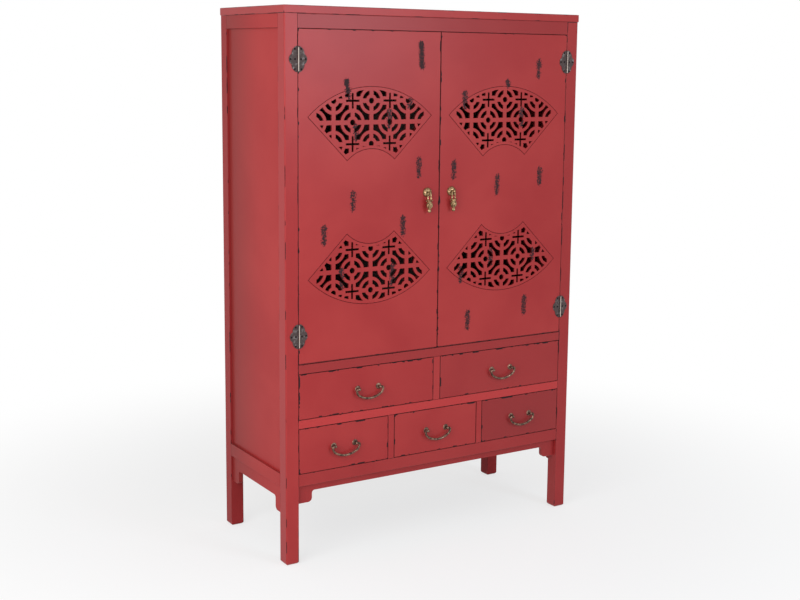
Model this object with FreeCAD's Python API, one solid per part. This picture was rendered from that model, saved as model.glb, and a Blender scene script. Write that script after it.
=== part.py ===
import FreeCAD
import Part
import math
import os

# Chinese wedding cabinet in red lacquer: four posts, a flush top, a pair of doors with pierced
# fans, two drawers over three, and aprons with small brackets between the legs.
# Millimetres, X to the right, Y to the back, Z up, seen from the front.

# Driving sizes of the whole cabinet
WIDTH = 960.0
DEPTH = 400.0
HEIGHT = 1500.0
LEG_HIGH = 218.0
DRAWER_HIGH = 127.0

# Main sections of the wood
TOP_THICK = 21.0
TOP_OVERHANG = 2.0
POST = 38.0
RAIL_THICK = 22.0
TOP_RAIL_HIGH = 37.0
MIDDLE_RAIL_HIGH = 25.0
DRAWER_RAIL_HIGH = 24.0
BOTTOM_RAIL_HIGH = 34.0
SIDE_RAIL_DROP = 3.0
UPPER_DIVIDER = 22.0
LOWER_DIVIDER = 19.0

# Joinery: play round a seated piece, tenons, grooves and eased edges
FIT = 0.2
TOUCH = 0.001
OVERRUN = 5.0
TENON_LONG = 12.0
STUB_LONG = 8.0
SHOULDER = 6.0
GROOVE_DEEP = 5.5
ARRIS = 0.8
TOP_ARRIS = 1.5
FOOT_ROUND = 9.0
POST_ROUND = 3.0

# Side panels and back
PANEL_RECESS = 7.0
PANEL_THICK = 9.0
BACK_INSET = 8.0
BACK_THICK = 6.0
BEARER_THICK = 20.0
BEARER_HIGH = 25.0

# Aprons with a bracket at each leg, the front one and those of the sides
APRON_THICK = 12.0
APRON_ENTRY = 6.0
BRACKET_ROUND = 12.0
BRACKET_HOLLOW = 8.0
FRONT_APRON_BACK = 12.0
FRONT_APRON_DEEP = 20.0
FRONT_BRACKET_DROP = 52.0
FRONT_BRACKET_WIDE = 46.0
SIDE_APRON_BACK = 6.0
SIDE_APRON_DEEP = 37.0
SIDE_BRACKET_DROP = 77.0
SIDE_BRACKET_WIDE = 40.0

# Boards inside and what carries them
FLOOR_THICK = 15.0
FLOOR_SEAT = 8.0
SHELF_THICK = 15.0
SHELF_UP = 400.0
CLEAT_WIDE = 20.0
CLEAT_HIGH = 20.0

# Runners under the drawers, with a guide beside each row of sides
RUNNER_THICK = 12.0
RUNNER_LEDGE = 13.0
GUIDE_HIGH = 12.0

# Drawers
DRAWER_GAP = 1.5
DRAWER_FRONT = 20.0
DRAWER_WALL = 12.0
DRAWER_WALL_HIGH = 95.0
DRAWER_PLAY = 2.0
DRAWER_RIDE = 0.3
DRAWER_BOTTOM = 5.0
DRAWER_BOTTOM_UP = 8.0
DRAWER_REAR_ROOM = 8.0

# Doors
DOOR_THICK = 22.0
DOOR_GAP = 1.25
DOOR_MEET = 2.5
DOOR_STOP = 1.0

# Fans let into the doors: two arcs about one centre, closed by two straight sides
FAN_STILE = 27.8
FAN_DEEP = 166.0
FAN_HALF_ANGLE = math.radians(45)
FAN_DROP = 175.0
FAN_FROM_MIDDLE = 199.5
FAN_THICK = 6.0
FAN_LEDGE = 6.0
FAN_BORDER = 8.5

# Pierced lattice of the fans: rings, crosses and bars on a square net, each size as a share of
# the net's pitch, and the smallest hole worth cutting as the side of a square
NET_PITCH = 57.4
BAR_SHARE = 0.209
RING_OUTER_SHARE = 0.634
RING_INNER_SHARE = 0.481
HUB_OUTER_SHARE = 0.296
HUB_HOLE_SHARE = 0.136
CROSS_LONG_SHARE = 0.357
CROSS_WIDE_SHARE = 0.1
CROSS_BAND_SHARE = 0.192
LEAST_HOLE_SHARE = 0.06

# Butterfly hinges: lobed leaves on the post and on the door, and a barrel between them
HINGE_FROM_END = 79.0
LEAF_REACH = 26.0
LEAF_HALF = 34.5
LEAF_THICK = 1.5
BARREL_HALF = 30.6
BARREL_RADIUS = 2.4
BARREL_OUT = 3.0
BARREL_GAP = 0.4
PIN_RADIUS = 1.3
PIN_PLAY = 0.06
PIN_HEAD_RADIUS = 2.1
PIN_HEAD_HIGH = 1.4
KNUCKLE_HALF = 10.5
LEAF_SHARES = [(0.06, 0.985), (0.53, 0.77), (0.70, 0.385), (1.0, 0.0)]

# Drawer bails: two studs and a drop handle that swings in their heads
BAIL_RAISE = 2.0
STUD_HALF = 33.0
STUD_OUT = 11.0
STUD_HEAD = 4.2
STUD_NECK = 2.6
STUD_BASE = 8.5
STUD_BASE_HIGH = 2.2
STUD_TAIL = 2.4
NUT_RADIUS = 5.5
NUT_HIGH = 3.0
BAIL_BAR = 3.3
BAIL_PIN = 1.7
BAIL_PIN_PLAY = 0.1
BAIL_SIDE_PLAY = 0.4
BAIL_ELBOW_PLAY = 0.5
BAIL_ELBOW = BAIL_BAR + BAIL_ELBOW_PLAY
BAIL_SIDE_RADIUS = 17.0
BAIL_DROP = 28.3

# Door pulls: a domed boss with an eye, and a drop that hangs in it
PULL_FROM_MEET = 38.75
PULL_ABOVE_MIDDLE = 2.5
PULL_OUT = 12.5
DOME_RADIUS = 13.8
DOME_HIGH = 9.5
DOME_SHARES = (0.74, 0.72)
EYE_RADIUS = 4.6
EYE_HALF = 2.2
EYE_PLAY = 0.3
PULL_NECK = 3.2
PULL_TAIL = 2.5
LOOP_WIRE = 1.5
LOOP_HALF = 5.2
LOOP_CORNER = 2.7
LOOP_LONG = 20.7
DROP_LONG = 56.0
DROP_RADIUS = 9.5
BALL_RADIUS = 5.4
BALL_NECK = 3.4
COLLAR_RADIUS = 7.2
COLLAR_HIGH = 3.0
WAIST_RADIUS = 5.0
NUB_REACH = 9.8
NUB_RADIUS = 2.1
NUB_ARM = 1.3
DROP_SHARES = {"waist": 0.042, "belly": 0.4815, "neck": 0.921}

# Levels, from the floor up
Z_BOTTOM_RAIL = LEG_HIGH
Z_LOWER_DRAWERS = Z_BOTTOM_RAIL + BOTTOM_RAIL_HIGH
Z_DRAWER_RAIL = Z_LOWER_DRAWERS + DRAWER_HIGH
Z_UPPER_DRAWERS = Z_DRAWER_RAIL + DRAWER_RAIL_HIGH
Z_MIDDLE_RAIL = Z_UPPER_DRAWERS + DRAWER_HIGH
Z_DOORS = Z_MIDDLE_RAIL + MIDDLE_RAIL_HIGH
Z_TOP = HEIGHT - TOP_THICK
Z_TOP_RAIL = Z_TOP - TOP_RAIL_HIGH
Z_DOOR_MIDDLE = (Z_DOORS + Z_TOP_RAIL) / 2
Z_FLOOR = Z_DOORS - FLOOR_THICK
Z_SHELF = Z_DOORS + SHELF_UP
Z_SIDE_RAIL = Z_BOTTOM_RAIL - SIDE_RAIL_DROP

# Across, from the middle out
X_OUT = WIDTH / 2 - TOP_OVERHANG
X_IN = X_OUT - POST
X_RAIL = X_OUT - RAIL_THICK
X_PANEL = X_OUT - PANEL_RECESS - PANEL_THICK
X_DOOR = (X_IN - DOOR_GAP + DOOR_MEET / 2) / 2
X_HINGE = X_IN - DOOR_GAP / 2
FAN_OUTER = (X_DOOR - DOOR_MEET / 2 - FAN_STILE) / math.sin(FAN_HALF_ANGLE)
FAN_INNER = FAN_OUTER - FAN_DEEP
NET_BAR = NET_PITCH * BAR_SHARE
RING_OUTER = NET_PITCH * RING_OUTER_SHARE
RING_INNER = NET_PITCH * RING_INNER_SHARE
HUB_OUTER = NET_PITCH * HUB_OUTER_SHARE
HUB_HOLE = NET_PITCH * HUB_HOLE_SHARE
CROSS_LONG = NET_PITCH * CROSS_LONG_SHARE
CROSS_WIDE = NET_PITCH * CROSS_WIDE_SHARE
CROSS_BAND = NET_PITCH * CROSS_BAND_SHARE
LEAST_HOLE = NET_PITCH * LEAST_HOLE_SHARE

# From front to back: the hardware counts in the box that the origin is centred on
REACH = max(PULL_OUT + DROP_RADIUS, STUD_OUT + STUD_HEAD)
BODY_DEPTH = DEPTH - TOP_OVERHANG
Y_FACE = REACH - (BODY_DEPTH + REACH) / 2
Y_BACK = Y_FACE + BODY_DEPTH
Y_POST = Y_FACE + POST
Y_REAR_POST = Y_BACK - POST
Y_RAIL = Y_FACE + RAIL_THICK
Y_REAR_RAIL = Y_BACK - RAIL_THICK
Y_PANEL = Y_BACK - BACK_INSET - BACK_THICK
Y_BEARER = Y_PANEL - BEARER_THICK

X_AXIS = FreeCAD.Vector(1, 0, 0)
Y_AXIS = FreeCAD.Vector(0, 1, 0)
Z_AXIS = FreeCAD.Vector(0, 0, 1)


# Shared shapes
def vector(x, y, z):
    """Point or direction."""
    return FreeCAD.Vector(x, y, z)


def block(x, y, z, grow=0):
    """Rectangular block between three pairs of coordinates, grown on every side."""
    low = [min(pair) - grow for pair in (x, y, z)]
    high = [max(pair) + grow for pair in (x, y, z)]
    size = [top - bottom for bottom, top in zip(low, high)]
    return Part.makeBox(size[0], size[1], size[2], vector(*low))


def mirrored(shape):
    """The same piece on the right half of the cabinet."""
    return shape.mirror(vector(0, 0, 0), X_AXIS)


def both_sides(shapes):
    """Pieces of the left half and their mirror images, as one group of separate solids."""
    return Part.makeCompound(list(shapes) + [mirrored(shape) for shape in shapes])


def flat_at(edge, axis, value):
    """True for an edge that lies in the plane where one coordinate has one value."""
    return all(abs(getattr(vertex.Point, axis) - value) < TOUCH for vertex in edge.Vertexes)


def eased(shape, size, axis, value):
    """Piece whose sharp edges in one plane are planed to a small flat."""
    edges = [edge for edge in shape.Edges if flat_at(edge, axis, value)]
    return shape.makeChamfer(size, edges)


def tube(radius, start, direction, length):
    """Round bar from a point along a direction."""
    return Part.makeCylinder(radius, length, start, direction)


def turned(edges):
    """Solid turned round the Z axis from the outline of one half of its section."""
    return Part.Face(Part.Wire(edges)).revolve(vector(0, 0, 0), Z_AXIS, 360)


def chain(points):
    """Straight edges from point to point."""
    return [Part.LineSegment(a, b).toShape() for a, b in zip(points, points[1:])]


def rounded_outline(corners):
    """Closed outline through (x, z, radius) corners, each rounded by an arc of its radius."""
    points = [vector(x, 0, z) for x, z, radius in corners]
    bends = []
    for index, (x, z, radius) in enumerate(corners):
        here = points[index]
        back = (points[index - 1] - here).normalize()
        ahead = (points[(index + 1) % len(points)] - here).normalize()
        half = back.getAngle(ahead) / 2
        reach = radius / math.tan(half)
        middle = here + (back + ahead).normalize() * (radius / math.sin(half) - radius)
        bends.append((here + back * reach, middle, here + ahead * reach, radius))
    edges = []
    for index, (start, middle, end, radius) in enumerate(bends):
        if radius > 0:
            edges.append(Part.Arc(start, middle, end).toShape())
        edges.append(Part.LineSegment(end, bends[(index + 1) % len(bends)][0]).toShape())
    return Part.Wire(edges)


def prism(wire, thick):
    """Solid between an outline in X and Z and its copy further back."""
    return Part.Face(wire).extrude(Y_AXIS * thick)


# Rails and their joints
def cross_tenons(z, high, y, thick, grow=0):
    """Tenons of a rail that runs along X, as one bar from tip to tip."""
    reach = X_IN + TENON_LONG
    return block((-reach, reach), (y + SHOULDER, y + thick - SHOULDER),
                 (z + SHOULDER, z + high - SHOULDER), grow)


def cross_rail(z, high, y, thick):
    """Rail along X between two posts."""
    return block((-X_IN, X_IN), (y, y + thick), (z, z + high))


def side_tenons(z, high, grow=0):
    """Tenons of a left side rail, as one bar from tip to tip."""
    return block((-X_OUT + SHOULDER, -X_RAIL - SHOULDER),
                 (Y_POST - TENON_LONG, Y_REAR_POST + TENON_LONG),
                 (z + SHOULDER, z + high - SHOULDER), grow)


def side_rail_levels():
    """Bottom and height of the two rails of a side."""
    return [(Z_TOP_RAIL, TOP_RAIL_HIGH), (Z_SIDE_RAIL, BOTTOM_RAIL_HIGH + SIDE_RAIL_DROP)]


def front_rail_levels():
    """Bottom and height of each rail of the front."""
    return {"top_rail": (Z_TOP_RAIL, TOP_RAIL_HIGH),
            "middle_rail": (Z_MIDDLE_RAIL, MIDDLE_RAIL_HIGH),
            "drawer_rail": (Z_DRAWER_RAIL, DRAWER_RAIL_HIGH),
            "bottom_rail": (Z_BOTTOM_RAIL, BOTTOM_RAIL_HIGH)}


def back_rail_levels():
    """Bottom, height, front plane and thickness of each rail of the back."""
    return [(Z_TOP_RAIL, TOP_RAIL_HIGH, Y_REAR_RAIL, RAIL_THICK),
            (Z_FLOOR - BEARER_HIGH, BEARER_HIGH, Y_BEARER, BEARER_THICK),
            (Z_DRAWER_RAIL, DRAWER_RAIL_HIGH, Y_BEARER, BEARER_THICK),
            (Z_BOTTOM_RAIL, BOTTOM_RAIL_HIGH, Y_REAR_RAIL, RAIL_THICK)]


def divider_places():
    """Middle, width and bottom of each upright between two drawers."""
    lower = (X_IN + LOWER_DIVIDER / 2) / 3
    return [(0, UPPER_DIVIDER, Z_UPPER_DRAWERS),
            (-lower, LOWER_DIVIDER, Z_LOWER_DRAWERS),
            (lower, LOWER_DIVIDER, Z_LOWER_DRAWERS)]


def divider_stubs(x, wide, z, grow=0):
    """Stub tenons of a divider, as one bar from tip to tip."""
    half = wide / 2 - SHOULDER
    return block((x - half, x + half), (Y_FACE + SHOULDER, Y_RAIL - SHOULDER),
                 (z - STUB_LONG, z + DRAWER_HIGH + STUB_LONG), grow)


def divider(x, wide, z):
    """Upright between two drawers, stub tenoned into the rails above and below."""
    body = block((x - wide / 2, x + wide / 2), (Y_FACE, Y_RAIL), (z, z + DRAWER_HIGH))
    return eased(body, ARRIS, "y", Y_FACE).fuse(divider_stubs(x, wide, z))


def front_rail(name):
    """Rail of the front, flush with the posts, mortised for the dividers that it meets."""
    z, high = front_rail_levels()[name]
    rail = eased(cross_rail(z, high, Y_FACE, RAIL_THICK), ARRIS, "y", Y_FACE)
    rail = rail.fuse(cross_tenons(z, high, Y_FACE, RAIL_THICK))
    rail = rail.cut([divider_stubs(*place, grow=FIT) for place in divider_places()])
    if name == "middle_rail":
        rail = rail.cut(floor_rebate())
    return rail


def floor_rebate():
    """Step along the back of the middle rail that the cabinet floor rests on."""
    return block((-X_IN, X_IN), (Y_RAIL - FLOOR_SEAT, Y_RAIL + OVERRUN), (Z_FLOOR, Z_DOORS + OVERRUN))


# Panels
def side_panel_block(grow=0):
    """Left side panel, its edges in the grooves of posts and rails."""
    entry = GROOVE_DEEP - FIT
    return block((-X_OUT + PANEL_RECESS, -X_PANEL), (Y_POST - entry, Y_REAR_POST + entry),
                 (Z_LOWER_DRAWERS - entry, Z_TOP_RAIL + entry), grow)


def back_panel_block(grow=0):
    """Back panel, its edges in the grooves of the rear posts and rails."""
    entry = GROOVE_DEEP - FIT
    return block((-X_IN - entry, X_IN + entry), (Y_PANEL, Y_PANEL + BACK_THICK),
                 (Z_LOWER_DRAWERS - entry, Z_TOP_RAIL + entry), grow)


# Aprons
def apron(span, deep, drop, wide):
    """Apron board of one span, top edge at zero, with a bracket at each end that enters the leg."""
    end = span / 2 + APRON_ENTRY
    inner = span / 2 - wide
    corners = [(-end, 0, 0), (end, 0, 0), (end, -drop, 0), (inner, -drop, BRACKET_ROUND),
               (inner, -deep, BRACKET_HOLLOW), (-inner, -deep, BRACKET_HOLLOW),
               (-inner, -drop, BRACKET_ROUND), (-end, -drop, 0)]
    return prism(rounded_outline(corners), APRON_THICK)


def front_apron():
    """Apron under the bottom rail, set back from its face."""
    board = apron(2 * X_IN, FRONT_APRON_DEEP, FRONT_BRACKET_DROP, FRONT_BRACKET_WIDE)
    return board.translated(vector(0, Y_FACE + FRONT_APRON_BACK, Z_BOTTOM_RAIL))


def side_apron():
    """Apron under the left bottom rail, with longer brackets."""
    board = apron(Y_REAR_POST - Y_POST, SIDE_APRON_DEEP, SIDE_BRACKET_DROP, SIDE_BRACKET_WIDE)
    board = board.rotated(vector(0, 0, 0), Z_AXIS, 90)
    middle = (Y_POST + Y_REAR_POST) / 2
    return board.translated(vector(-X_OUT + SIDE_APRON_BACK + APRON_THICK, middle, Z_SIDE_RAIL))


def front_apron_end(grow):
    """Room for the front apron in the front posts."""
    reach = X_IN + APRON_ENTRY
    return block((-reach, reach), (Y_FACE + FRONT_APRON_BACK, Y_FACE + FRONT_APRON_BACK + APRON_THICK),
                 (Z_BOTTOM_RAIL - FRONT_BRACKET_DROP, Z_BOTTOM_RAIL), grow)


def side_apron_end(grow):
    """Room for the left side apron in the two left posts."""
    x = -X_OUT + SIDE_APRON_BACK
    return block((x, x + APRON_THICK), (Y_POST - APRON_ENTRY, Y_REAR_POST + APRON_ENTRY),
                 (Z_SIDE_RAIL - SIDE_BRACKET_DROP, Z_SIDE_RAIL), grow)


# Posts
def plain_post(y, outer):
    """Square post from the floor to the top, eased, rounded at its foot and its outer corner."""
    post = block((-X_OUT, -X_IN), (y, y + POST), (0, Z_TOP))
    foot = post.makeFillet(FOOT_ROUND, [edge for edge in post.Edges if flat_at(edge, "z", 0)])
    upright = [edge for edge in post.Edges if abs(edge.tangentAt(0).z) == 1]
    corner = [edge for edge in upright if flat_at(edge, "x", -X_OUT) and flat_at(edge, "y", outer)]
    rounded = post.makeFillet(POST_ROUND, corner)
    return post.makeChamfer(ARRIS, upright).common(foot).common(rounded)


def side_cutters():
    """Mortises and grooves that both left posts share."""
    cutters = [side_tenons(z, high, FIT) for z, high in side_rail_levels()]
    return cutters + [side_panel_block(FIT), side_apron_end(FIT)]


def front_post():
    """Left front post, mortised for the front rails, the side rails, the panel and the aprons."""
    cutters = [cross_tenons(z, high, Y_FACE, RAIL_THICK, FIT) for z, high in front_rail_levels().values()]
    return plain_post(Y_FACE, Y_FACE).cut(cutters + side_cutters() + [front_apron_end(FIT)])


def rear_post():
    """Left rear post, mortised for the back rails and bearers and grooved for the panels."""
    cutters = [cross_tenons(*level, grow=FIT) for level in back_rail_levels()]
    return plain_post(Y_REAR_POST, Y_BACK).cut(cutters + side_cutters() + [back_panel_block(FIT)])


# Other pieces of the carcass
def top_board():
    """Board over the whole cabinet."""
    board = block((-WIDTH / 2, WIDTH / 2), (Y_FACE - TOP_OVERHANG, Y_BACK), (Z_TOP, HEIGHT))
    return board.makeChamfer(TOP_ARRIS, board.Edges)


def side_rails():
    """Two rails of the left side, flush with the posts and grooved for the panel."""
    rails = []
    for z, high in side_rail_levels():
        rail = block((-X_OUT, -X_RAIL), (Y_POST, Y_REAR_POST), (z, z + high))
        rail = eased(rail, ARRIS, "x", -X_OUT).fuse(side_tenons(z, high))
        rails.append(rail.cut(side_panel_block(FIT)))
    return Part.makeCompound(rails)


def back_rails():
    """Top and bottom rail of the back, and two bearers in front of the back panel."""
    rails = []
    for z, high, y, thick in back_rail_levels():
        rail = cross_rail(z, high, y, thick).fuse(cross_tenons(z, high, y, thick))
        rails.append(rail.cut(back_panel_block(FIT)) if y == Y_REAR_RAIL else rail)
    return Part.makeCompound(rails)


def notched(board):
    """Board with its corners notched round the four posts."""
    posts = [block((-X_OUT, -X_IN), (y, y + POST), (0, Z_TOP), FIT) for y in (Y_FACE, Y_REAR_POST)]
    return board.cut(posts + [mirrored(post) for post in posts])


def cabinet_floor():
    """Floor behind the doors, on the middle rail, two cleats and a bearer."""
    return notched(block((-X_PANEL, X_PANEL), (Y_RAIL - FLOOR_SEAT, Y_PANEL), (Z_FLOOR, Z_DOORS)))


def shelf():
    """Shelf on two cleats, whose front edge stops the closed doors."""
    front = Y_FACE + DOOR_THICK + DOOR_STOP
    return notched(block((-X_PANEL, X_PANEL), (front, Y_PANEL), (Z_SHELF, Z_SHELF + SHELF_THICK)))


def cleats():
    """Cleats on the side panels, under the floor and under the shelf."""
    return both_sides([block((-X_PANEL, -X_PANEL + CLEAT_WIDE), (Y_POST, Y_REAR_POST), (z - CLEAT_HIGH, z))
                       for z in (Z_FLOOR, Z_SHELF)])


def runner(x, guide, y, z):
    """Runner with a base from x[0] to x[1] and a guide on it from guide[0] to guide[1]."""
    return block(x, y, (z - RUNNER_THICK, z)).fuse(block(guide, y, (z, z + GUIDE_HIGH))).removeSplitter()


def drawer_runners():
    """Runners along both sides of each row of drawers and behind each divider."""
    rows = [(Z_UPPER_DRAWERS, X_PANEL, Y_BEARER), (Z_LOWER_DRAWERS, X_RAIL, Y_REAR_RAIL)]
    sides = [runner((-x, -X_IN + RUNNER_LEDGE), (-x, -X_IN), (Y_POST, Y_REAR_POST), z) for z, x, y in rows]
    pieces = sides + [mirrored(side) for side in sides]
    rear = {z: y for z, x, y in rows}
    for x, wide, z in divider_places():
        base = (x - wide / 2 - RUNNER_LEDGE, x + wide / 2 + RUNNER_LEDGE)
        pieces.append(runner(base, (x - wide / 2, x + wide / 2), (Y_RAIL, rear[z]), z))
    return Part.makeCompound(pieces)


# Doors
def fan_outline(grow):
    """Closed fan outline, spreading upwards from its arcs' centre, grown by one distance all round."""
    outer = FAN_OUTER + grow
    inner = FAN_INNER - grow

    def corner(radius, side):
        """Point where a circle meets the straight side, or the top of the circle."""
        angle = side * (FAN_HALF_ANGLE + math.asin(grow / radius))
        return vector(radius * math.sin(angle), 0, radius * math.cos(angle) - FAN_DROP)

    return Part.Wire([Part.Arc(corner(outer, -1), corner(outer, 0), corner(outer, 1)).toShape(),
                      Part.LineSegment(corner(outer, 1), corner(inner, 1)).toShape(),
                      Part.Arc(corner(inner, 1), corner(inner, 0), corner(inner, -1)).toShape(),
                      Part.LineSegment(corner(inner, -1), corner(outer, -1)).toShape()])


def in_door(shape, upper):
    """Shape of a fan at the upper place in the left door, or turned over at the lower one."""
    if not upper:
        shape = shape.mirror(vector(0, 0, 0), Z_AXIS)
    lift = FAN_FROM_MIDDLE if upper else -FAN_FROM_MIDDLE
    return shape.translated(vector(-X_DOOR, Y_FACE, Z_DOOR_MIDDLE + lift))


def door_leaf():
    """Left door: one flush board with two fan windows, each rebated for its panel."""
    leaf = block((-X_IN + DOOR_GAP, -DOOR_MEET / 2), (Y_FACE, Y_FACE + DOOR_THICK),
                 (Z_DOORS + DOOR_GAP, Z_TOP_RAIL - DOOR_GAP))
    window = prism(fan_outline(-FAN_LEDGE), DOOR_THICK + OVERRUN)
    rebate = prism(fan_outline(0), FAN_THICK)
    leaf = leaf.cut([in_door(shape, upper) for upper in (True, False) for shape in (window, rebate)])
    leaf = eased(leaf, ARRIS, "y", Y_FACE)
    return leaf.cut(pull_hole())


# Fretwork: an outline is a closed row of edges, a line by two points and an arc by three
def arc(x, radius, start, end):
    """Start, middle and end of an arc about a point of the X axis, angles from X towards Z."""
    return [(x + radius * math.cos(angle), radius * math.sin(angle))
            for angle in (start, (start + end) / 2, end)]


def joined(edges):
    """Closed outline of the given edges and the lines between one's end and the next one's start."""
    outline = []
    for index, edge in enumerate(edges):
        outline += [edge, [edge[-1], edges[(index + 1) % len(edges)][0]]]
    return outline


def hole_face(outline, x=0, z=0, turn_x=1, turn_z=1):
    """Face of one piercing, drawn about a net point, mirrored where a turn is minus one."""
    edges = []
    for points in outline:
        places = [vector(x + turn_x * a, 0, z + turn_z * b) for a, b in points]
        curve = Part.Arc(*places) if len(places) == 3 else Part.LineSegment(*places)
        edges.append(curve.toShape())
    return Part.Face(Part.Wire(edges))


def hub_hole():
    """Round hole in the middle of a ring."""
    return [arc(0, HUB_HOLE, 0, math.pi), arc(0, HUB_HOLE, math.pi, 2 * math.pi)]


def ring_slot():
    """Slot between hub and ring, in the first quarter."""
    hub = HUB_OUTER
    ring = RING_INNER
    at_hub = math.asin(NET_BAR / 2 / hub)
    at_ring = math.asin(NET_BAR / 2 / ring)
    return joined([arc(0, hub, math.pi / 2 - at_hub, at_hub),
                   arc(0, ring, at_ring, math.pi / 2 - at_ring)])


def bone():
    """Waisted piercing between a crossing of two bars and a cross, in the first quarter."""
    near = NET_BAR / 2
    far = NET_PITCH - CROSS_BAND
    ring = RING_OUTER
    start = math.pi - math.asin(near / ring)
    end = math.pi / 2 + math.asin(CROSS_BAND / ring)
    right = arc(NET_PITCH, ring, start, end)
    left = [(b, a) for a, b in reversed(right)]
    return [[(near, near), right[0]], right, [right[2], (far, far)],
            [(far, far), left[0]], left, [left[2], (near, near)]]


def cross():
    """Piercing in the shape of a plus."""
    long = CROSS_LONG
    half = CROSS_WIDE / 2
    arms = [[(half, long), (-half, long)], [(-long, half), (-long, -half)],
            [(-half, -long), (half, -long)], [(long, -half), (long, half)]]
    corners = [(-half, half), (-half, -half), (half, -half), (half, half)]
    outline = []
    for index, (tip, corner) in enumerate(zip(arms, corners)):
        outline += [tip, [tip[1], corner], [corner, arms[(index + 1) % len(arms)][0]]]
    return outline


def net_holes():
    """Every piercing of the net that can reach into a fan."""
    reach = math.ceil(FAN_OUTER / NET_PITCH)
    quarters = [(1, 1), (1, -1), (-1, 1), (-1, -1)]
    holes = []
    for column in range(-reach, reach + 1):
        for row in range(-reach, reach + 1):
            x = column * NET_PITCH
            z = row * NET_PITCH
            if (column + row) % 2:
                holes.append(hole_face(hub_hole(), x, z))
                holes += [hole_face(ring_slot(), x, z, *quarter) for quarter in quarters]
            elif column % 2:
                holes.append(hole_face(cross(), x, z))
            else:
                holes += [hole_face(bone(), x, z, *quarter) for quarter in quarters]
    return holes


def fretwork():
    """Pierced fan panel: a plain border round a net of rings, crosses and bars."""
    panel = prism(fan_outline(-FIT), FAN_THICK)
    panel = eased(panel, ARRIS, "y", 0)
    field = Part.Face(fan_outline(-FAN_BORDER))
    holes = []
    for hole in net_holes():
        clipped = hole.common(field)
        holes += [face for face in clipped.Faces if face.Area > LEAST_HOLE ** 2]
    cutters = [face.translated(vector(0, -OVERRUN, 0)).extrude(Y_AXIS * (FAN_THICK + 2 * OVERRUN))
               for face in holes]
    return panel.cut(cutters)


# Hinges, drawn about the foot of the pin on the face of the wood, leaf towards minus X
def leaf_outline():
    """Outline of one leaf of a butterfly hinge: three lobes that meet in two notches."""
    upper = [vector(-LEAF_REACH * x, 0, LEAF_HALF * z) for x, z in LEAF_SHARES]
    lower = [vector(point.x, 0, -point.z) for point in reversed(upper[:-1])]
    edges = [Part.Arc(*upper[0:3]).toShape(), Part.Arc(upper[2], upper[3], lower[0]).toShape(),
             Part.Arc(*lower[0:3]).toShape(), Part.LineSegment(lower[2], upper[0]).toShape()]
    return Part.Wire(edges)


def hinge_leaf(spans):
    """Leaf with barrel knuckles over the given spans of height, bored for the pin."""
    axis = vector(0, -BARREL_OUT, 0)
    leaf = prism(leaf_outline(), LEAF_THICK).translated(vector(0, -LEAF_THICK, 0))
    room = BARREL_RADIUS + BARREL_GAP
    leaf = leaf.cut(block((-room, room), (-LEAF_THICK - OVERRUN, OVERRUN), (-LEAF_HALF, LEAF_HALF)))
    for low, high in spans:
        leaf = leaf.fuse(tube(BARREL_RADIUS, axis + Z_AXIS * low, Z_AXIS, high - low))
        leaf = leaf.fuse(block((-room - LEAF_THICK, 0), (-LEAF_THICK, -BARREL_GAP), (low, high)))
    bore = tube(PIN_RADIUS + PIN_PLAY, axis - Z_AXIS * LEAF_HALF, Z_AXIS, 2 * LEAF_HALF)
    return leaf.cut(bore)


def post_leaf():
    """Leaf on the post, with the two outer knuckles."""
    inner = KNUCKLE_HALF + BARREL_GAP
    return hinge_leaf([(-BARREL_HALF, -inner), (inner, BARREL_HALF)])


def door_leaf_plate():
    """Leaf on the door, with the middle knuckle."""
    return mirrored(hinge_leaf([(-KNUCKLE_HALF, KNUCKLE_HALF)]))


def hinge_pin():
    """Pin through the barrel, with a head above and below."""
    low = vector(0, -BARREL_OUT, -BARREL_HALF)
    pin = tube(PIN_RADIUS, low, Z_AXIS, 2 * BARREL_HALF)
    upper = tube(PIN_HEAD_RADIUS, low + Z_AXIS * 2 * BARREL_HALF, Z_AXIS, PIN_HEAD_HIGH)
    lower = tube(PIN_HEAD_RADIUS, low - Z_AXIS * PIN_HEAD_HIGH, Z_AXIS, PIN_HEAD_HIGH)
    return pin.fuse([upper, lower])


def at_hinges(shape):
    """Copies of a hinge piece at the upper and lower hinge of the left door."""
    levels = (Z_TOP_RAIL - HINGE_FROM_END, Z_DOORS + HINGE_FROM_END)
    return [shape.translated(vector(-X_HINGE, Y_FACE, z)) for z in levels]


# Door pulls, drawn about the middle of the eye, with the door's face behind it
def pull_place():
    """Middle of the eye of the left pull."""
    return vector(-DOOR_MEET / 2 - PULL_FROM_MEET, Y_FACE - PULL_OUT,
                  Z_DOOR_MIDDLE + PULL_ABOVE_MIDDLE)


def stud_profile(base, base_high, neck, out, tail, through):
    """Half section of a stud turned about Z: nut, tail, domed base and neck, wood from 0 down."""
    nut = -through - NUT_HIGH
    edges = chain([vector(0, 0, nut), vector(NUT_RADIUS, 0, nut), vector(NUT_RADIUS, 0, -through),
                   vector(tail, 0, -through), vector(tail, 0, 0), vector(base, 0, 0)])
    crown = vector(base * DOME_SHARES[0], 0, base_high * DOME_SHARES[1])
    edges.append(Part.Arc(vector(base, 0, 0), crown, vector(neck, 0, base_high)).toShape())
    return edges + chain([vector(neck, 0, base_high), vector(neck, 0, out), vector(0, 0, out),
                          vector(0, 0, nut)])


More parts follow.
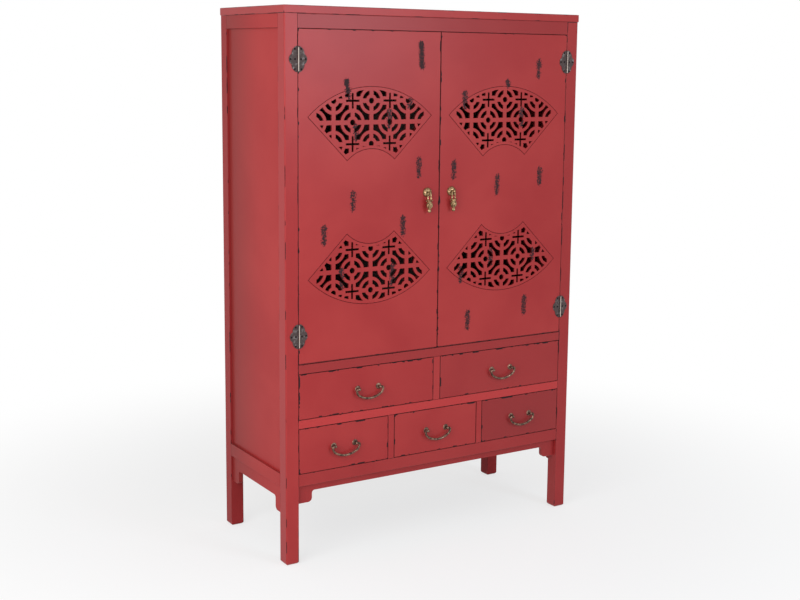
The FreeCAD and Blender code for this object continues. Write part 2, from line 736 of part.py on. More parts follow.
def pull_boss():
    """Domed boss on the door with the eye that carries the drop, nutted behind the door."""
    body = turned(stud_profile(DOME_RADIUS, DOME_HIGH, PULL_NECK, PULL_OUT, PULL_TAIL, DOOR_THICK))
    body = body.rotated(vector(0, 0, 0), X_AXIS, 90).translated(vector(0, PULL_OUT, 0))
    eye = tube(EYE_RADIUS, vector(-EYE_HALF, 0, 0), X_AXIS, 2 * EYE_HALF)
    spare = Part.makeBox(2 * EYE_RADIUS, 2 * EYE_RADIUS, 2 * EYE_RADIUS)
    beside = spare.translated(vector(EYE_HALF, -EYE_RADIUS, -EYE_RADIUS))
    bore = tube(LOOP_WIRE + EYE_PLAY, vector(-EYE_RADIUS, 0, 0), X_AXIS, 2 * EYE_RADIUS)
    return body.fuse(eye).cut([beside, mirrored(beside), bore])


def pull_hole():
    """Hole in the left door for the tail of the pull's boss."""
    start = pull_place() + Y_AXIS * (PULL_OUT - OVERRUN)
    return tube(PULL_TAIL + FIT, start, Y_AXIS, DOOR_THICK + 2 * OVERRUN)


def loop_path():
    """Centre line of the wire loop that passes through the eye."""
    flat = LOOP_HALF - LOOP_CORNER
    bend = LOOP_CORNER * math.sqrt(0.5)
    foot = -LOOP_LONG - COLLAR_HIGH / 2
    left = [vector(-LOOP_HALF, 0, -LOOP_CORNER), vector(-flat - bend, 0, bend - LOOP_CORNER),
            vector(-flat, 0, 0)]
    right = [vector(-point.x, 0, point.z) for point in reversed(left)]
    return Part.Wire([Part.LineSegment(vector(-LOOP_HALF, 0, foot), left[0]).toShape(),
                      Part.Arc(*left).toShape(), Part.LineSegment(left[2], right[0]).toShape(),
                      Part.Arc(*right).toShape(),
                      Part.LineSegment(right[2], vector(LOOP_HALF, 0, foot)).toShape()])


def drop_section():
    """Half section of the turned drop: collar, then waist, belly and neck down to the ball."""
    top = -LOOP_LONG
    foot = top - COLLAR_HIGH
    ball = -DROP_LONG + BALL_RADIUS
    lip = math.sqrt(BALL_RADIUS ** 2 - BALL_NECK ** 2)
    z = {name: foot + (ball + lip - foot) * share for name, share in DROP_SHARES.items()}
    edges = chain([vector(0, 0, top), vector(COLLAR_RADIUS, 0, top),
                   vector(COLLAR_RADIUS, 0, foot), vector(WAIST_RADIUS, 0, z["waist"])])
    edges.append(Part.Arc(vector(WAIST_RADIUS, 0, z["waist"]), vector(DROP_RADIUS, 0, z["belly"]),
                          vector(WAIST_RADIUS, 0, z["neck"])).toShape())
    edges += chain([vector(WAIST_RADIUS, 0, z["neck"]), vector(BALL_NECK, 0, ball + lip)])
    edges.append(Part.Arc(vector(BALL_NECK, 0, ball + lip), vector(BALL_RADIUS, 0, ball),
                          vector(0, 0, -DROP_LONG)).toShape())
    return edges + chain([vector(0, 0, -DROP_LONG), vector(0, 0, top)])


def pull_drop():
    """Drop of a pull: a long loop, a collar with two nubs, a turned belly and a ball."""
    path = loop_path()
    ring = Part.Wire(Part.Circle(path.Vertexes[0].Point, Z_AXIS, LOOP_WIRE).toShape())
    drop = path.makePipeShell([ring], True, True).fuse(turned(drop_section()))
    level = -LOOP_LONG - COLLAR_HIGH / 2
    arm = tube(NUB_ARM, vector(-NUB_REACH, 0, level), X_AXIS, 2 * NUB_REACH)
    nubs = [Part.makeSphere(NUB_RADIUS, vector(side * NUB_REACH, 0, level)) for side in (-1, 1)]
    return drop.fuse([arm] + nubs)


# Bails, drawn about the middle of their axis, with the drawer's face behind it
def bail_studs():
    """Two studs with round heads, bored across for the bail's pins, nutted inside the drawer."""
    body = turned(stud_profile(STUD_BASE, STUD_BASE_HIGH, STUD_NECK, STUD_OUT, STUD_TAIL, DRAWER_FRONT))
    body = body.rotated(vector(0, 0, 0), X_AXIS, 90).translated(vector(0, STUD_OUT, 0))
    body = body.fuse(Part.makeSphere(STUD_HEAD))
    body = body.cut(tube(BAIL_PIN + BAIL_PIN_PLAY, vector(-STUD_HEAD, 0, 0), X_AXIS, 2 * STUD_HEAD))
    return Part.makeCompound([body.translated(vector(side * STUD_HALF, 0, 0)) for side in (-1, 1)])


def bail_path():
    """Centre line of the bail: an elbow at each end and three arcs that run into each other."""
    start = STUD_HALF + STUD_HEAD + BAIL_SIDE_PLAY
    half = start + BAIL_ELBOW
    deep = BAIL_DROP - BAIL_ELBOW
    side = BAIL_SIDE_RADIUS
    low = (half ** 2 - 2 * half * side + deep ** 2) / (2 * (deep - side))
    side_centre = vector(side - half, 0, -BAIL_ELBOW)
    low_centre = vector(0, 0, low - BAIL_DROP)
    along = (side_centre - low_centre).normalize()
    meet = low_centre + along * low
    between = side_centre + (along - X_AXIS).normalize() * side
    bend = BAIL_ELBOW * math.sqrt(0.5)
    elbow = vector(-start - bend, 0, bend - BAIL_ELBOW)
    left = [vector(-start, 0, 0), elbow, vector(-half, 0, -BAIL_ELBOW), between, meet]
    right = [vector(-point.x, 0, point.z) for point in reversed(left)]
    return Part.Wire([Part.Arc(*left[0:3]).toShape(), Part.Arc(*left[2:5]).toShape(),
                      Part.Arc(meet, vector(0, 0, -BAIL_DROP), right[0]).toShape(),
                      Part.Arc(*right[0:3]).toShape(), Part.Arc(*right[2:5]).toShape()])


def bail():
    """Drop handle with a pin at each end that turns in the stud's head."""
    path = bail_path()
    ring = Part.Wire(Part.Circle(path.Vertexes[0].Point, X_AXIS, BAIL_BAR).toShape())
    bar = path.makePipeShell([ring], True, True)
    start = STUD_HALF - STUD_HEAD / 2
    pin = tube(BAIL_PIN, vector(-start, 0, 0), -X_AXIS, STUD_HEAD * 3 / 2 + BAIL_SIDE_PLAY)
    return bar.fuse([pin, mirrored(pin)])


# Drawers
def drawer_places():
    """Left and right edge and bottom of each drawer's opening, by name."""
    half = UPPER_DIVIDER / 2
    x, wide, z = divider_places()[2]
    return {"drawer_upper_left": (-X_IN, -half, Z_UPPER_DRAWERS),
            "drawer_upper_right": (half, X_IN, Z_UPPER_DRAWERS),
            "drawer_lower_left": (-X_IN, -x - wide / 2, Z_LOWER_DRAWERS),
            "drawer_lower_middle": (-x + wide / 2, x - wide / 2, Z_LOWER_DRAWERS),
            "drawer_lower_right": (x + wide / 2, X_IN, Z_LOWER_DRAWERS)}


def bail_place(left, right, z):
    """Middle of the axis of a drawer's bail."""
    return vector((left + right) / 2, Y_FACE - STUD_OUT, z + DRAWER_HIGH / 2 + BAIL_RAISE)


def bottom_block(left, right, z, grow=0):
    """Bottom board of a drawer, its edges in the grooves of sides and front."""
    inner = DRAWER_PLAY + DRAWER_WALL - GROOVE_DEEP + FIT
    front = Y_FACE + DRAWER_FRONT
    low = z + DRAWER_RIDE + DRAWER_BOTTOM_UP
    return block((left + inner, right - inner), (front - GROOVE_DEEP + FIT, drawer_rear()),
                 (low, low + DRAWER_BOTTOM), grow)


def drawer_rear():
    """Plane of the back of every drawer."""
    return Y_BEARER - DRAWER_REAR_ROOM


def drawer_front(left, right, z):
    """Flush drawer front, grooved for the bottom and bored for the studs."""
    front = block((left + DRAWER_GAP, right - DRAWER_GAP), (Y_FACE, Y_FACE + DRAWER_FRONT),
                  (z + DRAWER_GAP, z + DRAWER_HIGH - DRAWER_GAP))
    front = eased(front, ARRIS, "y", Y_FACE).cut(bottom_block(left, right, z, FIT))
    middle = bail_place(left, right, z) + Y_AXIS * (STUD_OUT - OVERRUN)
    return front.cut([tube(STUD_TAIL + FIT, middle + X_AXIS * side * STUD_HALF, Y_AXIS,
                           DRAWER_FRONT + 2 * OVERRUN) for side in (-1, 1)])


def drawer_box(left, right, z):
    """Two sides, back and bottom of a drawer, as separate boards."""
    low = z + DRAWER_RIDE
    high = low + DRAWER_WALL_HIGH
    front = Y_FACE + DRAWER_FRONT
    rear = drawer_rear()
    outer = (left + DRAWER_PLAY, right - DRAWER_PLAY)
    inner = (outer[0] + DRAWER_WALL, outer[1] - DRAWER_WALL)
    sides = [block(pair, (front, rear), (low, high)).cut(bottom_block(left, right, z, FIT))
             for pair in zip(outer, inner)]
    bottom = bottom_block(left, right, z)
    back = block(inner, (rear - DRAWER_WALL, rear), (bottom.BoundBox.ZMax, high))
    return Part.makeCompound(sides + [back, bottom])


def carcass_nodes():
    """Pieces that stand still."""
    nodes = {"top_board": top_board(), "front_apron": front_apron(),
             "back_panel": back_panel_block(), "back_rails": back_rails(),
             "cabinet_floor": cabinet_floor(), "shelf": shelf(), "shelf_cleats": cleats(),
             "drawer_runners": drawer_runners()}
    for name in front_rail_levels():
        nodes[name] = front_rail(name)
    places = divider_places()
    nodes["upper_divider"] = divider(*places[0])
    nodes["lower_dividers"] = Part.makeCompound([divider(*place) for place in places[1:]])
    nodes["hinge_post_leaves"] = both_sides(at_hinges(post_leaf()))
    nodes["hinge_pins"] = both_sides(at_hinges(hinge_pin()))
    halves = {"post_front": front_post(), "post_back": rear_post(), "side_rails": side_rails(),
              "side_panel": side_panel_block(), "side_apron": side_apron()}
    for name, shape in halves.items():
        nodes[name + "_left"] = shape
        nodes[name + "_right"] = mirrored(shape)
    return nodes


def door_nodes():
    """Pieces of the two doors and their pulls."""
    fan = fretwork()
    halves = {"door_leaf": door_leaf(), "fretwork_upper": in_door(fan, True),
              "fretwork_lower": in_door(fan, False),
              "hinge_door_leaves": Part.makeCompound(at_hinges(door_leaf_plate())),
              "pull_boss": pull_boss().translated(pull_place()),
              "pull_drop": pull_drop().translated(pull_place())}
    nodes = {}
    for name, shape in halves.items():
        nodes[name + "_left"] = shape
        nodes[name + "_right"] = mirrored(shape)
    return nodes


def drawer_nodes():
    """Pieces of the five drawers and their bails."""
    studs = bail_studs()
    handle = bail()
    nodes = {}
    for name, place in drawer_places().items():
        nodes[name + "_front"] = drawer_front(*place)
        nodes[name + "_box"] = drawer_box(*place)
        nodes[name + "_studs"] = studs.translated(bail_place(*place))
        nodes[name + "_bail"] = handle.translated(bail_place(*place))
    return nodes


def main():
    """Build every piece and write one file for each."""
    os.makedirs("parts", exist_ok=True)
    nodes = {**carcass_nodes(), **door_nodes(), **drawer_nodes()}
    for name, shape in nodes.items():
        shape.exportStep(os.path.join("parts", name + ".step"))
    print(len(nodes), "pieces or groups,", sum(len(shape.Solids) for shape in nodes.values()), "solids")


main()
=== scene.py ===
# %% [markdown]
# # A wedding cabinet in worn red lacquer
#
# The real cabinet is a tall cupboard: four square posts, rails, two flush doors pierced by fans,
# five drawers, and small brass and bronze fittings. Its wood is already built to size as the
# frame of this scene, so this lesson is about finish: lacquer that is rubbed through at the
# edges, cast brass, dark bronze, and the light of a plain studio. Only the nails of the hinges
# and the cast drops of the pulls are modelled here.
#
# The frame is loaded first. Every piece of it stays where it is.

# %% Load the frame
import math

import bmesh
import bpy
from mathutils import Matrix, Vector


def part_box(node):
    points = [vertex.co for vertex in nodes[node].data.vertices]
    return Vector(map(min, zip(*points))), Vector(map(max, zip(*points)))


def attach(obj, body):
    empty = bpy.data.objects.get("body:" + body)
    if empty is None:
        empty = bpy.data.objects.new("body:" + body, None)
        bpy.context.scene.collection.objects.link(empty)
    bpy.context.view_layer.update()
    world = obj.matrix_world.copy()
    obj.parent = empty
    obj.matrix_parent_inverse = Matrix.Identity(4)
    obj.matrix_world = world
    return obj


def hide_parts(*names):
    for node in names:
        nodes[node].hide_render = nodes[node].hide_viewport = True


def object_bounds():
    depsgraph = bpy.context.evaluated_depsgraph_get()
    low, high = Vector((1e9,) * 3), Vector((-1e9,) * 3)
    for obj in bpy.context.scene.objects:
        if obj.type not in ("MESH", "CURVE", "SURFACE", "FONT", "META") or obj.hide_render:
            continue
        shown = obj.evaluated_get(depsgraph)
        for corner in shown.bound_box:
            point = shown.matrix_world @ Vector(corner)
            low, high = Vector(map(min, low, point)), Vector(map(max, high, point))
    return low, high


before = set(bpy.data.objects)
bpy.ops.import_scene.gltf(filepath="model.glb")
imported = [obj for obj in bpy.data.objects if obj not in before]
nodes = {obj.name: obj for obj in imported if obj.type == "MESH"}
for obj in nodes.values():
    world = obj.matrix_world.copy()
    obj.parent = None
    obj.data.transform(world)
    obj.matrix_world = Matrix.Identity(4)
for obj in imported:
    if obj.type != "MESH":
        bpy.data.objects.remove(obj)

MM = 0.001
cad_low, cad_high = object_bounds()
print("pieces in the frame:", len(nodes))
print("frame box in metres:", [round(v, 4) for v in (*cad_low, *cad_high)])

# %% [markdown]
# ## Places that the finish needs
#
# Wear and nails sit at places on the real cabinet, so they are measured from the frame and not
# typed again. The face of a door gives the front plane, the hinge pins give the axes, and the
# posts give the outer planes.

# %% Planes and axes of the front
door_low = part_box("door_leaf_left")[0]
pins_low, pins_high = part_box("hinge_pins")
FACE = door_low.y
PIN_HEAD = 2.1 * MM
PIN_HALF = 32.0 * MM
HINGE_X = pins_high.x - PIN_HEAD
HINGE_LEVELS = (pins_low.z + PIN_HALF, pins_high.z - PIN_HALF)
OUT_X = -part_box("post_front_left")[0].x
MIDDLE_Y = (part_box("post_front_left")[0].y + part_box("post_back_left")[1].y) / 2
OUT_Y = MIDDLE_Y - FACE
print("front plane at", round(FACE, 4), "hinge axes at", round(HINGE_X, 4))
print("hinge levels:", [round(z, 4) for z in HINGE_LEVELS])

# %% [markdown]
# ## The camera
#
# The photograph was taken from the left and a little above, with a normal lens. A place, three
# angles and a lens are enough, and they read better than a matrix of numbers. Each angle is one
# turn: round the upright axis, down from the horizon, and the slight lean of the camera. The
# photograph was cropped off its own centre, so the camera also has a small shift.

# %% Set up the camera
CAMERA_PLACE = Vector((-1.9807, -3.2297, 1.3755))
CAMERA_AZIMUTH = math.radians(-32.97)
CAMERA_ELEVATION = math.radians(8.89)
CAMERA_ROLL = math.radians(0.78)
LENS = 58.67
SHIFT = (-0.045, -0.05)
SENSOR = 36.0


def aimed(azimuth, elevation, roll=0.0):
    """Rotation of a camera or lamp that looks at the cabinet from these angles."""
    turn = Matrix.Rotation(azimuth, 4, "Z")
    tip = Matrix.Rotation(math.pi / 2 - elevation, 4, "X")
    return turn @ tip @ Matrix.Rotation(roll, 4, "Z")


camera_data = bpy.data.cameras.new("studio_camera")
camera_data.lens = LENS
camera_data.shift_x, camera_data.shift_y = SHIFT
camera_data.sensor_width = SENSOR
camera_data.clip_start = 0.05
camera_data.clip_end = 100.0
camera = bpy.data.objects.new("studio_camera", camera_data)
camera.matrix_world = Matrix.Translation(CAMERA_PLACE) @ aimed(
    CAMERA_AZIMUTH, CAMERA_ELEVATION, CAMERA_ROLL)
bpy.context.scene.collection.objects.link(camera)
bpy.context.scene.camera = camera
print("camera at", [round(v, 3) for v in camera.location])

# %% [markdown]
# ## Short calls for nodes
#
# A node tree reads like a sum when each node is one short call. The class below holds a tree and
# wires whatever it is given: a plain number goes into the socket, and an output of another node
# is linked. Shader trees and geometry trees both use it.


# %% A helper that wires nodes
class Wiring:
    """One node tree, with a short call for each kind of node that this scene uses."""

    def __init__(self, tree):
        self.tree = tree

    def put(self, kind, inputs=None, **settings):
        """New node with its settings and its inputs, by name or by index."""
        node = self.tree.nodes.new(kind)
        for name, value in settings.items():
            setattr(node, name, value)
        for key, value in (inputs or {}).items():
            if isinstance(value, bpy.types.NodeSocket):
                self.tree.links.new(value, node.inputs[key])
            else:
                node.inputs[key].default_value = value
        return node

    def math(self, operation, a, b=0.0):
        """Sum, product or other operation on one or two values."""
        return self.put("ShaderNodeMath", {0: a, 1: b}, operation=operation).outputs[0]

    def vector(self, operation, a, b):
        """Operation on two vectors that gives a vector."""
        return self.put("ShaderNodeVectorMath", {0: a, 1: b}, operation=operation).outputs[0]

    def split(self, vector):
        """X, Y and Z of a vector."""
        return self.put("ShaderNodeSeparateXYZ", {0: vector}).outputs[:3]

    def step(self, value, start, end):
        """Smooth change from 0 at start to 1 at end."""
        return self.put("ShaderNodeMapRange", {"Value": value, "From Min": start, "From Max": end},
                        interpolation_type="SMOOTHSTEP").outputs[0]

    def noise(self, vector, scale, detail=2.0, rough=0.5, distortion=0.0):
        """Noise between 0 and 1."""
        return self.put("ShaderNodeTexNoise", {"Vector": vector, "Scale": scale, "Detail": detail,
                                               "Roughness": rough, "Distortion": distortion}).outputs[0]

    def mix(self, share, a, b):
        """Colour a where share is 0 and colour b where it is 1."""
        return self.put("ShaderNodeMix", {0: share, 6: a, 7: b}, data_type="RGBA").outputs[2]

    def place(self):
        """Place on the object, in metres."""
        return self.put("ShaderNodeTexCoord").outputs["Object"]

    def depths(self, place, low, high):
        """Distances from a place inside a box to its nearest faces along X, Y and Z."""
        return self.split(self.vector("MINIMUM", self.vector("SUBTRACT", place, low),
                                      self.vector("SUBTRACT", high, place)))

    def link(self, output, socket):
        """Link to a socket of a shader or of a group's end."""
        self.tree.links.new(output, socket)


print("node helper ready")

# %% [markdown]
# ## Effects that several finishes share
#
# An effect is built once as a node group, with named inputs, and each finish gives it its own
# values. The first one finds the edges of a board. Inside a box, the distances to the nearest
# face along X, Y and Z are known from the place alone. On a face one of the three is zero, and
# the middle one of the three is then the distance to the nearest edge. Cycles can also find
# edges by pointiness, but that needs a dense mesh, and here a board's box is exact.


# %% Group: distance to the nearest edge of a board
def new_group(name, inputs, outputs):
    """Empty shader group with named sockets, its wiring helper and its two end nodes."""
    tree = bpy.data.node_groups.new(name, "ShaderNodeTree")
    kinds = {"value": "NodeSocketFloat", "vector": "NodeSocketVector"}
    for label, (kind, default) in inputs.items():
        socket = tree.interface.new_socket(label, in_out="INPUT", socket_type=kinds[kind])
        socket.default_value = default
    for label, kind in outputs.items():
        tree.interface.new_socket(label, in_out="OUTPUT", socket_type=kinds[kind])
    wiring = Wiring(tree)
    start = wiring.put("NodeGroupInput").outputs
    end = wiring.put("NodeGroupOutput").inputs
    return tree, wiring, start, end


BOX = {"Low": ("vector", (0, 0, 0)), "High": ("vector", (1, 1, 1))}
edge_distance, w, given, out = new_group("edge_distance", BOX, {"Distance": "value"})
dx, dy, dz = w.depths(w.place(), given["Low"], given["High"])
smaller = w.math("MINIMUM", dx, dy)
larger = w.math("MAXIMUM", dx, dy)
w.link(w.math("MAXIMUM", smaller, w.math("MINIMUM", larger, dz)), out["Distance"])
print("group:", edge_distance.name, "with", len(edge_distance.nodes), "nodes")

# %% [markdown]
# ### Chips along an edge
#
# Old lacquer chips in long, thin flakes that start at an arris. A coarse noise says where along
# the edge a flake is and how far it reaches in, and a fine noise makes its rim ragged. Where the
# coarse noise stays below a limit there is no flake at all, so most of the edge stays whole.
# The limit falls as the share of chipped edge grows. Beside the flakes the whole arris is painted a
# little paler: a painted highlight, where light would catch the eased edge. Chips could be painted by
# hand, but one group with a seed serves every board.

# %% Group: chips in the lacquer
LIMIT_NONE = 0.72
LIMIT_DROP = 0.3
CHIP_RISE = 0.1
RAGGED = 1.6 * MM
ARRIS = 1.4 * MM
chips, w, given, out = new_group(
    "lacquer_chips",
    {**BOX, "Reach": ("value", 3 * MM), "Share": ("value", 0.4), "Length": ("value", 20 * MM),
     "Seed": ("value", 0.0)},
    {"Chips": "value", "Arris": "value"})
distance = w.put("ShaderNodeGroup", {"Low": given["Low"], "High": given["High"]},
                 node_tree=edge_distance).outputs[0]
shifted = w.vector("ADD", w.place(), w.put("ShaderNodeCombineXYZ", {0: given["Seed"]}).outputs[0])
coarse = w.noise(shifted, w.math("DIVIDE", 1.0, given["Length"]), detail=2.0, rough=0.6)
limit = w.math("SUBTRACT", LIMIT_NONE, w.math("MULTIPLY", LIMIT_DROP, given["Share"]))
reach = w.math("MULTIPLY", given["Reach"],
               w.step(coarse, limit, w.math("ADD", limit, CHIP_RISE)))
ragged = w.math("MULTIPLY", w.math("SUBTRACT", w.noise(shifted, 700.0, detail=1.0), 0.5), RAGGED)
inside = w.math("SUBTRACT", reach, w.math("ADD", distance, ragged))
w.link(w.step(inside, 0.1 * MM, 0.4 * MM), out["Chips"])
# Arris: a pale band along every edge, a painted highlight
w.link(w.step(distance, ARRIS, ARRIS - MM), out["Arris"])
print("group:", chips.name, "with", len(chips.nodes), "nodes")

# %% [markdown]
# ### Seam dirt and painted shade
#
# Where two boards meet, their edges are planed to a small flat, and dirt stays in the groove between the
# flats; the dark there is also painted shade of the groove. A place is on such a flat when even the
# nearest face of its board's box is a little way off. The four outer corners of the cabinet and the feet
# are open, so they are left clean and unshaded. A second output gives the narrow sides of a door or
# drawer front. While it is closed, they are seen only through the gap round it, so they are painted as
# dark as the shade in that gap, and they keep that painted shade when it opens.

# %% Group: dirt and painted shade in the seams
CORNER = 9 * MM
FEET = 12 * MM
seams, w, given, out = new_group("seam_dirt_and_shade", BOX, {"DirtAndShade": "value", "GapShade": "value"})
place = w.place()
dx, dy, dz = w.depths(place, given["Low"], given["High"])
depth = w.math("MINIMUM", dx, w.math("MINIMUM", dy, dz))
band = w.math("MULTIPLY", w.step(depth, 0.02 * MM, 0.3 * MM), w.step(depth, 1.6 * MM, 0.9 * MM))
x, y, z = w.split(place)
beside = w.step(w.math("ABSOLUTE", x), OUT_X - CORNER, OUT_X - CORNER + MM)
from_middle = w.math("ABSOLUTE", w.math("SUBTRACT", y, MIDDLE_Y))
in_depth = w.step(from_middle, OUT_Y - CORNER, OUT_Y - CORNER + MM)
open_corner = w.math("MULTIPLY", beside, in_depth)
kept = w.math("MULTIPLY", w.math("SUBTRACT", 1.0, open_corner), w.step(z, FEET, FEET + 8 * MM))
# dark in the groove where boards meet: dirt, and painted shade of the groove
w.link(w.math("MULTIPLY", band, kept), out["DirtAndShade"])
# painted shade of the gap round a door or drawer front, on its narrow sides
behind = w.step(y, FACE + 0.3 * MM, FACE + 1.2 * MM)
at_side = w.step(w.math("MINIMUM", dx, dz), 0.6 * MM, 0.2 * MM)
w.link(w.math("MULTIPLY", behind, at_side), out["GapShade"])
print("group:", seams.name, "with", len(seams.nodes), "nodes")

# %% [markdown]
# ### Zones of painted shade
#
# Some painted shade follows the whole cabinet and not one board. The outer faces of posts and slab are
# painted a deeper red than their fronts, as painted shade; the sides are painted darker towards the
# back, where less light falls; and the lowest strip of the doors, above the middle rail, is painted dark
# as the shade of the gap there. Each face could have its own material, but a mask that reads the place
# keeps it at one material a board.

# %% Group: zones of painted shade
SILL = door_low.z + 1.6 * MM
shade_zones, w, given, out = new_group(
    "painted_shade_zones", {}, {"Outer": "value", "Back": "value", "Sill": "value"})
x, y, z = w.split(w.place())
# all three masks are painted shade: deeper outer faces, darker backs of the sides, a dark strip at the
# door sill
w.link(w.step(w.math("ABSOLUTE", x), OUT_X - 0.8 * MM, OUT_X - 0.3 * MM), out["Outer"])
w.link(w.step(y, MIDDLE_Y - 0.3 * OUT_Y, MIDDLE_Y + OUT_Y), out["Back"])
w.link(w.step(z, SILL + 1.8 * MM, SILL), out["Sill"])
print("group:", shade_zones.name, "with", len(shade_zones.nodes), "nodes")

# %% [markdown]
# ### Rubbed marks
#
# The doors carry short upright marks where the lacquer is rubbed off down to the black ground.
# A few are whole strokes. Most are broken: they lean and waver, are a little thinner towards the
# foot, and have flecks of red left in them. One group draws one mark, and a second group gathers
# the marks of one door, each given as x, z and height in millimetres and how broken it is. Drawn
# by a rule, their rims stay sharp from near by, which a painted picture's would not.

# %% Group: one rubbed mark
STROKE = 7.8 * MM
THINNER = 1.6 * MM
LEAN = 6 * MM
LEAN_BACK = 8 * MM
WAVER = 8 * MM
TORN = 7 * MM
TIP = 6 * MM
one_mark, w, given, out = new_group(
    "rubbed_mark",
    {"Place": ("vector", (0, 0, 0)), "Waver": ("value", 0.5), "Fleck": ("value", 0.5),
     "X": ("value", 0.0), "Z": ("value", 0.0), "Height": ("value", 60 * MM),
     "Broken": ("value", 0.0)},
    {"Mark": "value"})
x, y, z = w.split(given["Place"])
along = w.math("DIVIDE", w.math("SUBTRACT", z, given["Z"]), given["Height"])
slope = w.math("SUBTRACT", LEAN, w.math("MULTIPLY", given["Broken"], LEAN_BACK))
waver = w.math("MULTIPLY", w.math("SUBTRACT", given["Waver"], 0.5), WAVER)
bend = w.math("ADD", w.math("MULTIPLY", along, slope), waver)
across = w.math("ABSOLUTE", w.math("ADD", w.math("SUBTRACT", x, given["X"]), bend))
tail = w.math("MULTIPLY", given["Broken"], w.step(along, 0.2, -0.3))
ragged = w.math("MULTIPLY", w.math("SUBTRACT", w.step(given["Fleck"], 0.36, 0.64), 0.5), TORN)
half_wide = w.math("ADD", w.math("SUBTRACT", STROKE, w.math("MULTIPLY", tail, THINNER)), ragged)
end = w.math("MULTIPLY", w.math("SUBTRACT", 0.5, w.math("ABSOLUTE", along)), given["Height"])
tip = w.step(end, 0.0, TIP)
half_wide = w.math("MULTIPLY", half_wide, w.math("ADD", 0.5, w.math("MULTIPLY", tip, 0.5)))
inside = w.math("MINIMUM", w.math("SUBTRACT", half_wide, across), w.math("ADD", end, ragged))
whole = w.step(inside, -0.4 * MM, MM)
left = w.math("MULTIPLY", given["Broken"], w.step(given["Fleck"], 0.47, 0.40))
w.link(w.math("MULTIPLY", whole, w.math("SUBTRACT", 1.0, w.math("MULTIPLY", left, 0.8))),
       out["Mark"])
print("group:", one_mark.name, "with", len(one_mark.nodes), "nodes")


# %% Groups: the marks of each door
def rubbed_marks(name, marks):
    """Group that gives 1 inside the marks of one door, on its front only."""
    tree, w, given, out = new_group(name, {}, {"Marks": "value"})
    here = w.place()
    waver = w.noise(here, 75.0, detail=1.0)
    fleck = w.noise(here, 240.0, detail=2.0, rough=0.7)
    total = 0.0
    for x, z, high, broken in marks:
        mark = w.put("ShaderNodeGroup", {"Place": here, "Waver": waver, "Fleck": fleck, "X": x * MM,
                                         "Z": z * MM, "Height": high * MM, "Broken": broken},
                     node_tree=one_mark).outputs[0]
        total = w.math("MAXIMUM", total, mark)
    front = w.step(w.split(here)[1], FACE + 2 * MM, FACE + MM)
    w.link(w.math("MULTIPLY", total, front), out["Marks"])
    return tree


LEFT_MARKS = [(-63, 1377, 77, 0.2), (-293, 1287, 53, 0.0), (-68, 1071, 59, 0.9),
              (-276, 987, 57, 1.0), (-363, 900, 57, 0.8), (-118, 912, 58, 0.7),
              (-164, 1207, 52, 0.8), (-268, 1171, 46, 0.8), (-100, 1248, 30, 1.0),
              (-311, 780, 62, 0.6), (-152, 779, 62, 0.8)]
RIGHT_MARKS = [(338, 1343, 56, 0.9), (230, 1300, 26, 0.3), (82, 1256, 53, 0.8),
               (280, 1205, 55, 0.8), (48, 1061, 55, 1.0), (198, 1013, 59, 1.0),
               (350, 1032, 56, 0.8), (103, 625, 59, 1.0), (304, 651, 58, 1.0),
               (77, 760, 49, 0.9), (179, 803, 53, 0.9), (330, 802, 39, 1.0)]
marks_of = {"left": rubbed_marks("rubbed_marks_left", LEFT_MARKS),
            "right": rubbed_marks("rubbed_marks_right", RIGHT_MARKS)}
print("rubbed marks:", len(LEFT_MARKS), "on the left door,", len(RIGHT_MARKS), "on the right")

# %% [markdown]
# ### Clouds, grain and patina
#
# Three more effects: a slow change of tone for any paint, the grain of a board, and the patina
# of cast metal, which lies on it in dark blotches.

# %% Groups: tone, grain and patina
tone, w, given, out = new_group(
    "slow_tone", {"Scale": ("value", 4.0), "Seed": ("value", 0.0)}, {"Tone": "value", "Height": "value"})
shifted = w.vector("ADD", w.place(), w.put("ShaderNodeCombineXYZ", {1: given["Seed"]}).outputs[0])
slow = w.noise(shifted, given["Scale"], detail=3.0, rough=0.55, distortion=0.3)
fine = w.noise(shifted, 900.0, detail=2.0, rough=0.6)
w.link(w.step(slow, 0.3, 0.7), out["Tone"])
w.link(fine, out["Height"])

grain, w, given, out = new_group(
    "board_grain", {"Stretch": ("vector", (1, 1, 1)), "Seed": ("value", 0.0)},
    {"Grain": "value", "Pores": "value"})
moved = w.vector("ADD", w.vector("MULTIPLY", w.place(), given["Stretch"]),
                 w.put("ShaderNodeCombineXYZ", {0: given["Seed"], 2: given["Seed"]}).outputs[0])
w.link(w.noise(moved, 28.0, detail=6.0, rough=0.6, distortion=0.8), out["Grain"])
w.link(w.step(w.noise(moved, 260.0, detail=3.0, rough=0.6), 0.35, 0.6), out["Pores"])

patina, w, given, out = new_group(
    "cast_patina", {"Scale": ("value", 160.0), "Cover": ("value", 0.5)},
    {"Dark": "value", "Height": "value"})
SOFT = 0.12
blotches = w.noise(w.place(), given["Scale"], detail=4.0, rough=0.65, distortion=0.4)
rise = w.math("SUBTRACT", w.math("SUBTRACT", 1.0, given["Cover"]), SOFT)
w.link(w.step(blotches, rise, w.math("ADD", rise, 2 * SOFT)), out["Dark"])
w.link(w.noise(w.place(), 1400.0, detail=2.0), out["Height"])
print("groups:", tone.name, grain.name, patina.name)

# %% [markdown]
# ## Red lacquer
#
# The lacquer is a strong red with a satin gloss, over a black ground that shows in the chips and
# marks. Colours are written as they look on a screen, from 0 to 255, and turned into the linear
# values that a shader wants.


# %% Colours of the lacquer
def paint(red, green, blue):
    """Linear colour of a screen colour."""
    def linear(value):
        value = value / 255
        return value / 12.92 if value <= 0.04045 else ((value + 0.055) / 1.055) ** 2.4
    return (linear(red), linear(green), linear(blue), 1.0)


RED = paint(172, 55, 54)
RED_DEEP = paint(162, 46, 47)
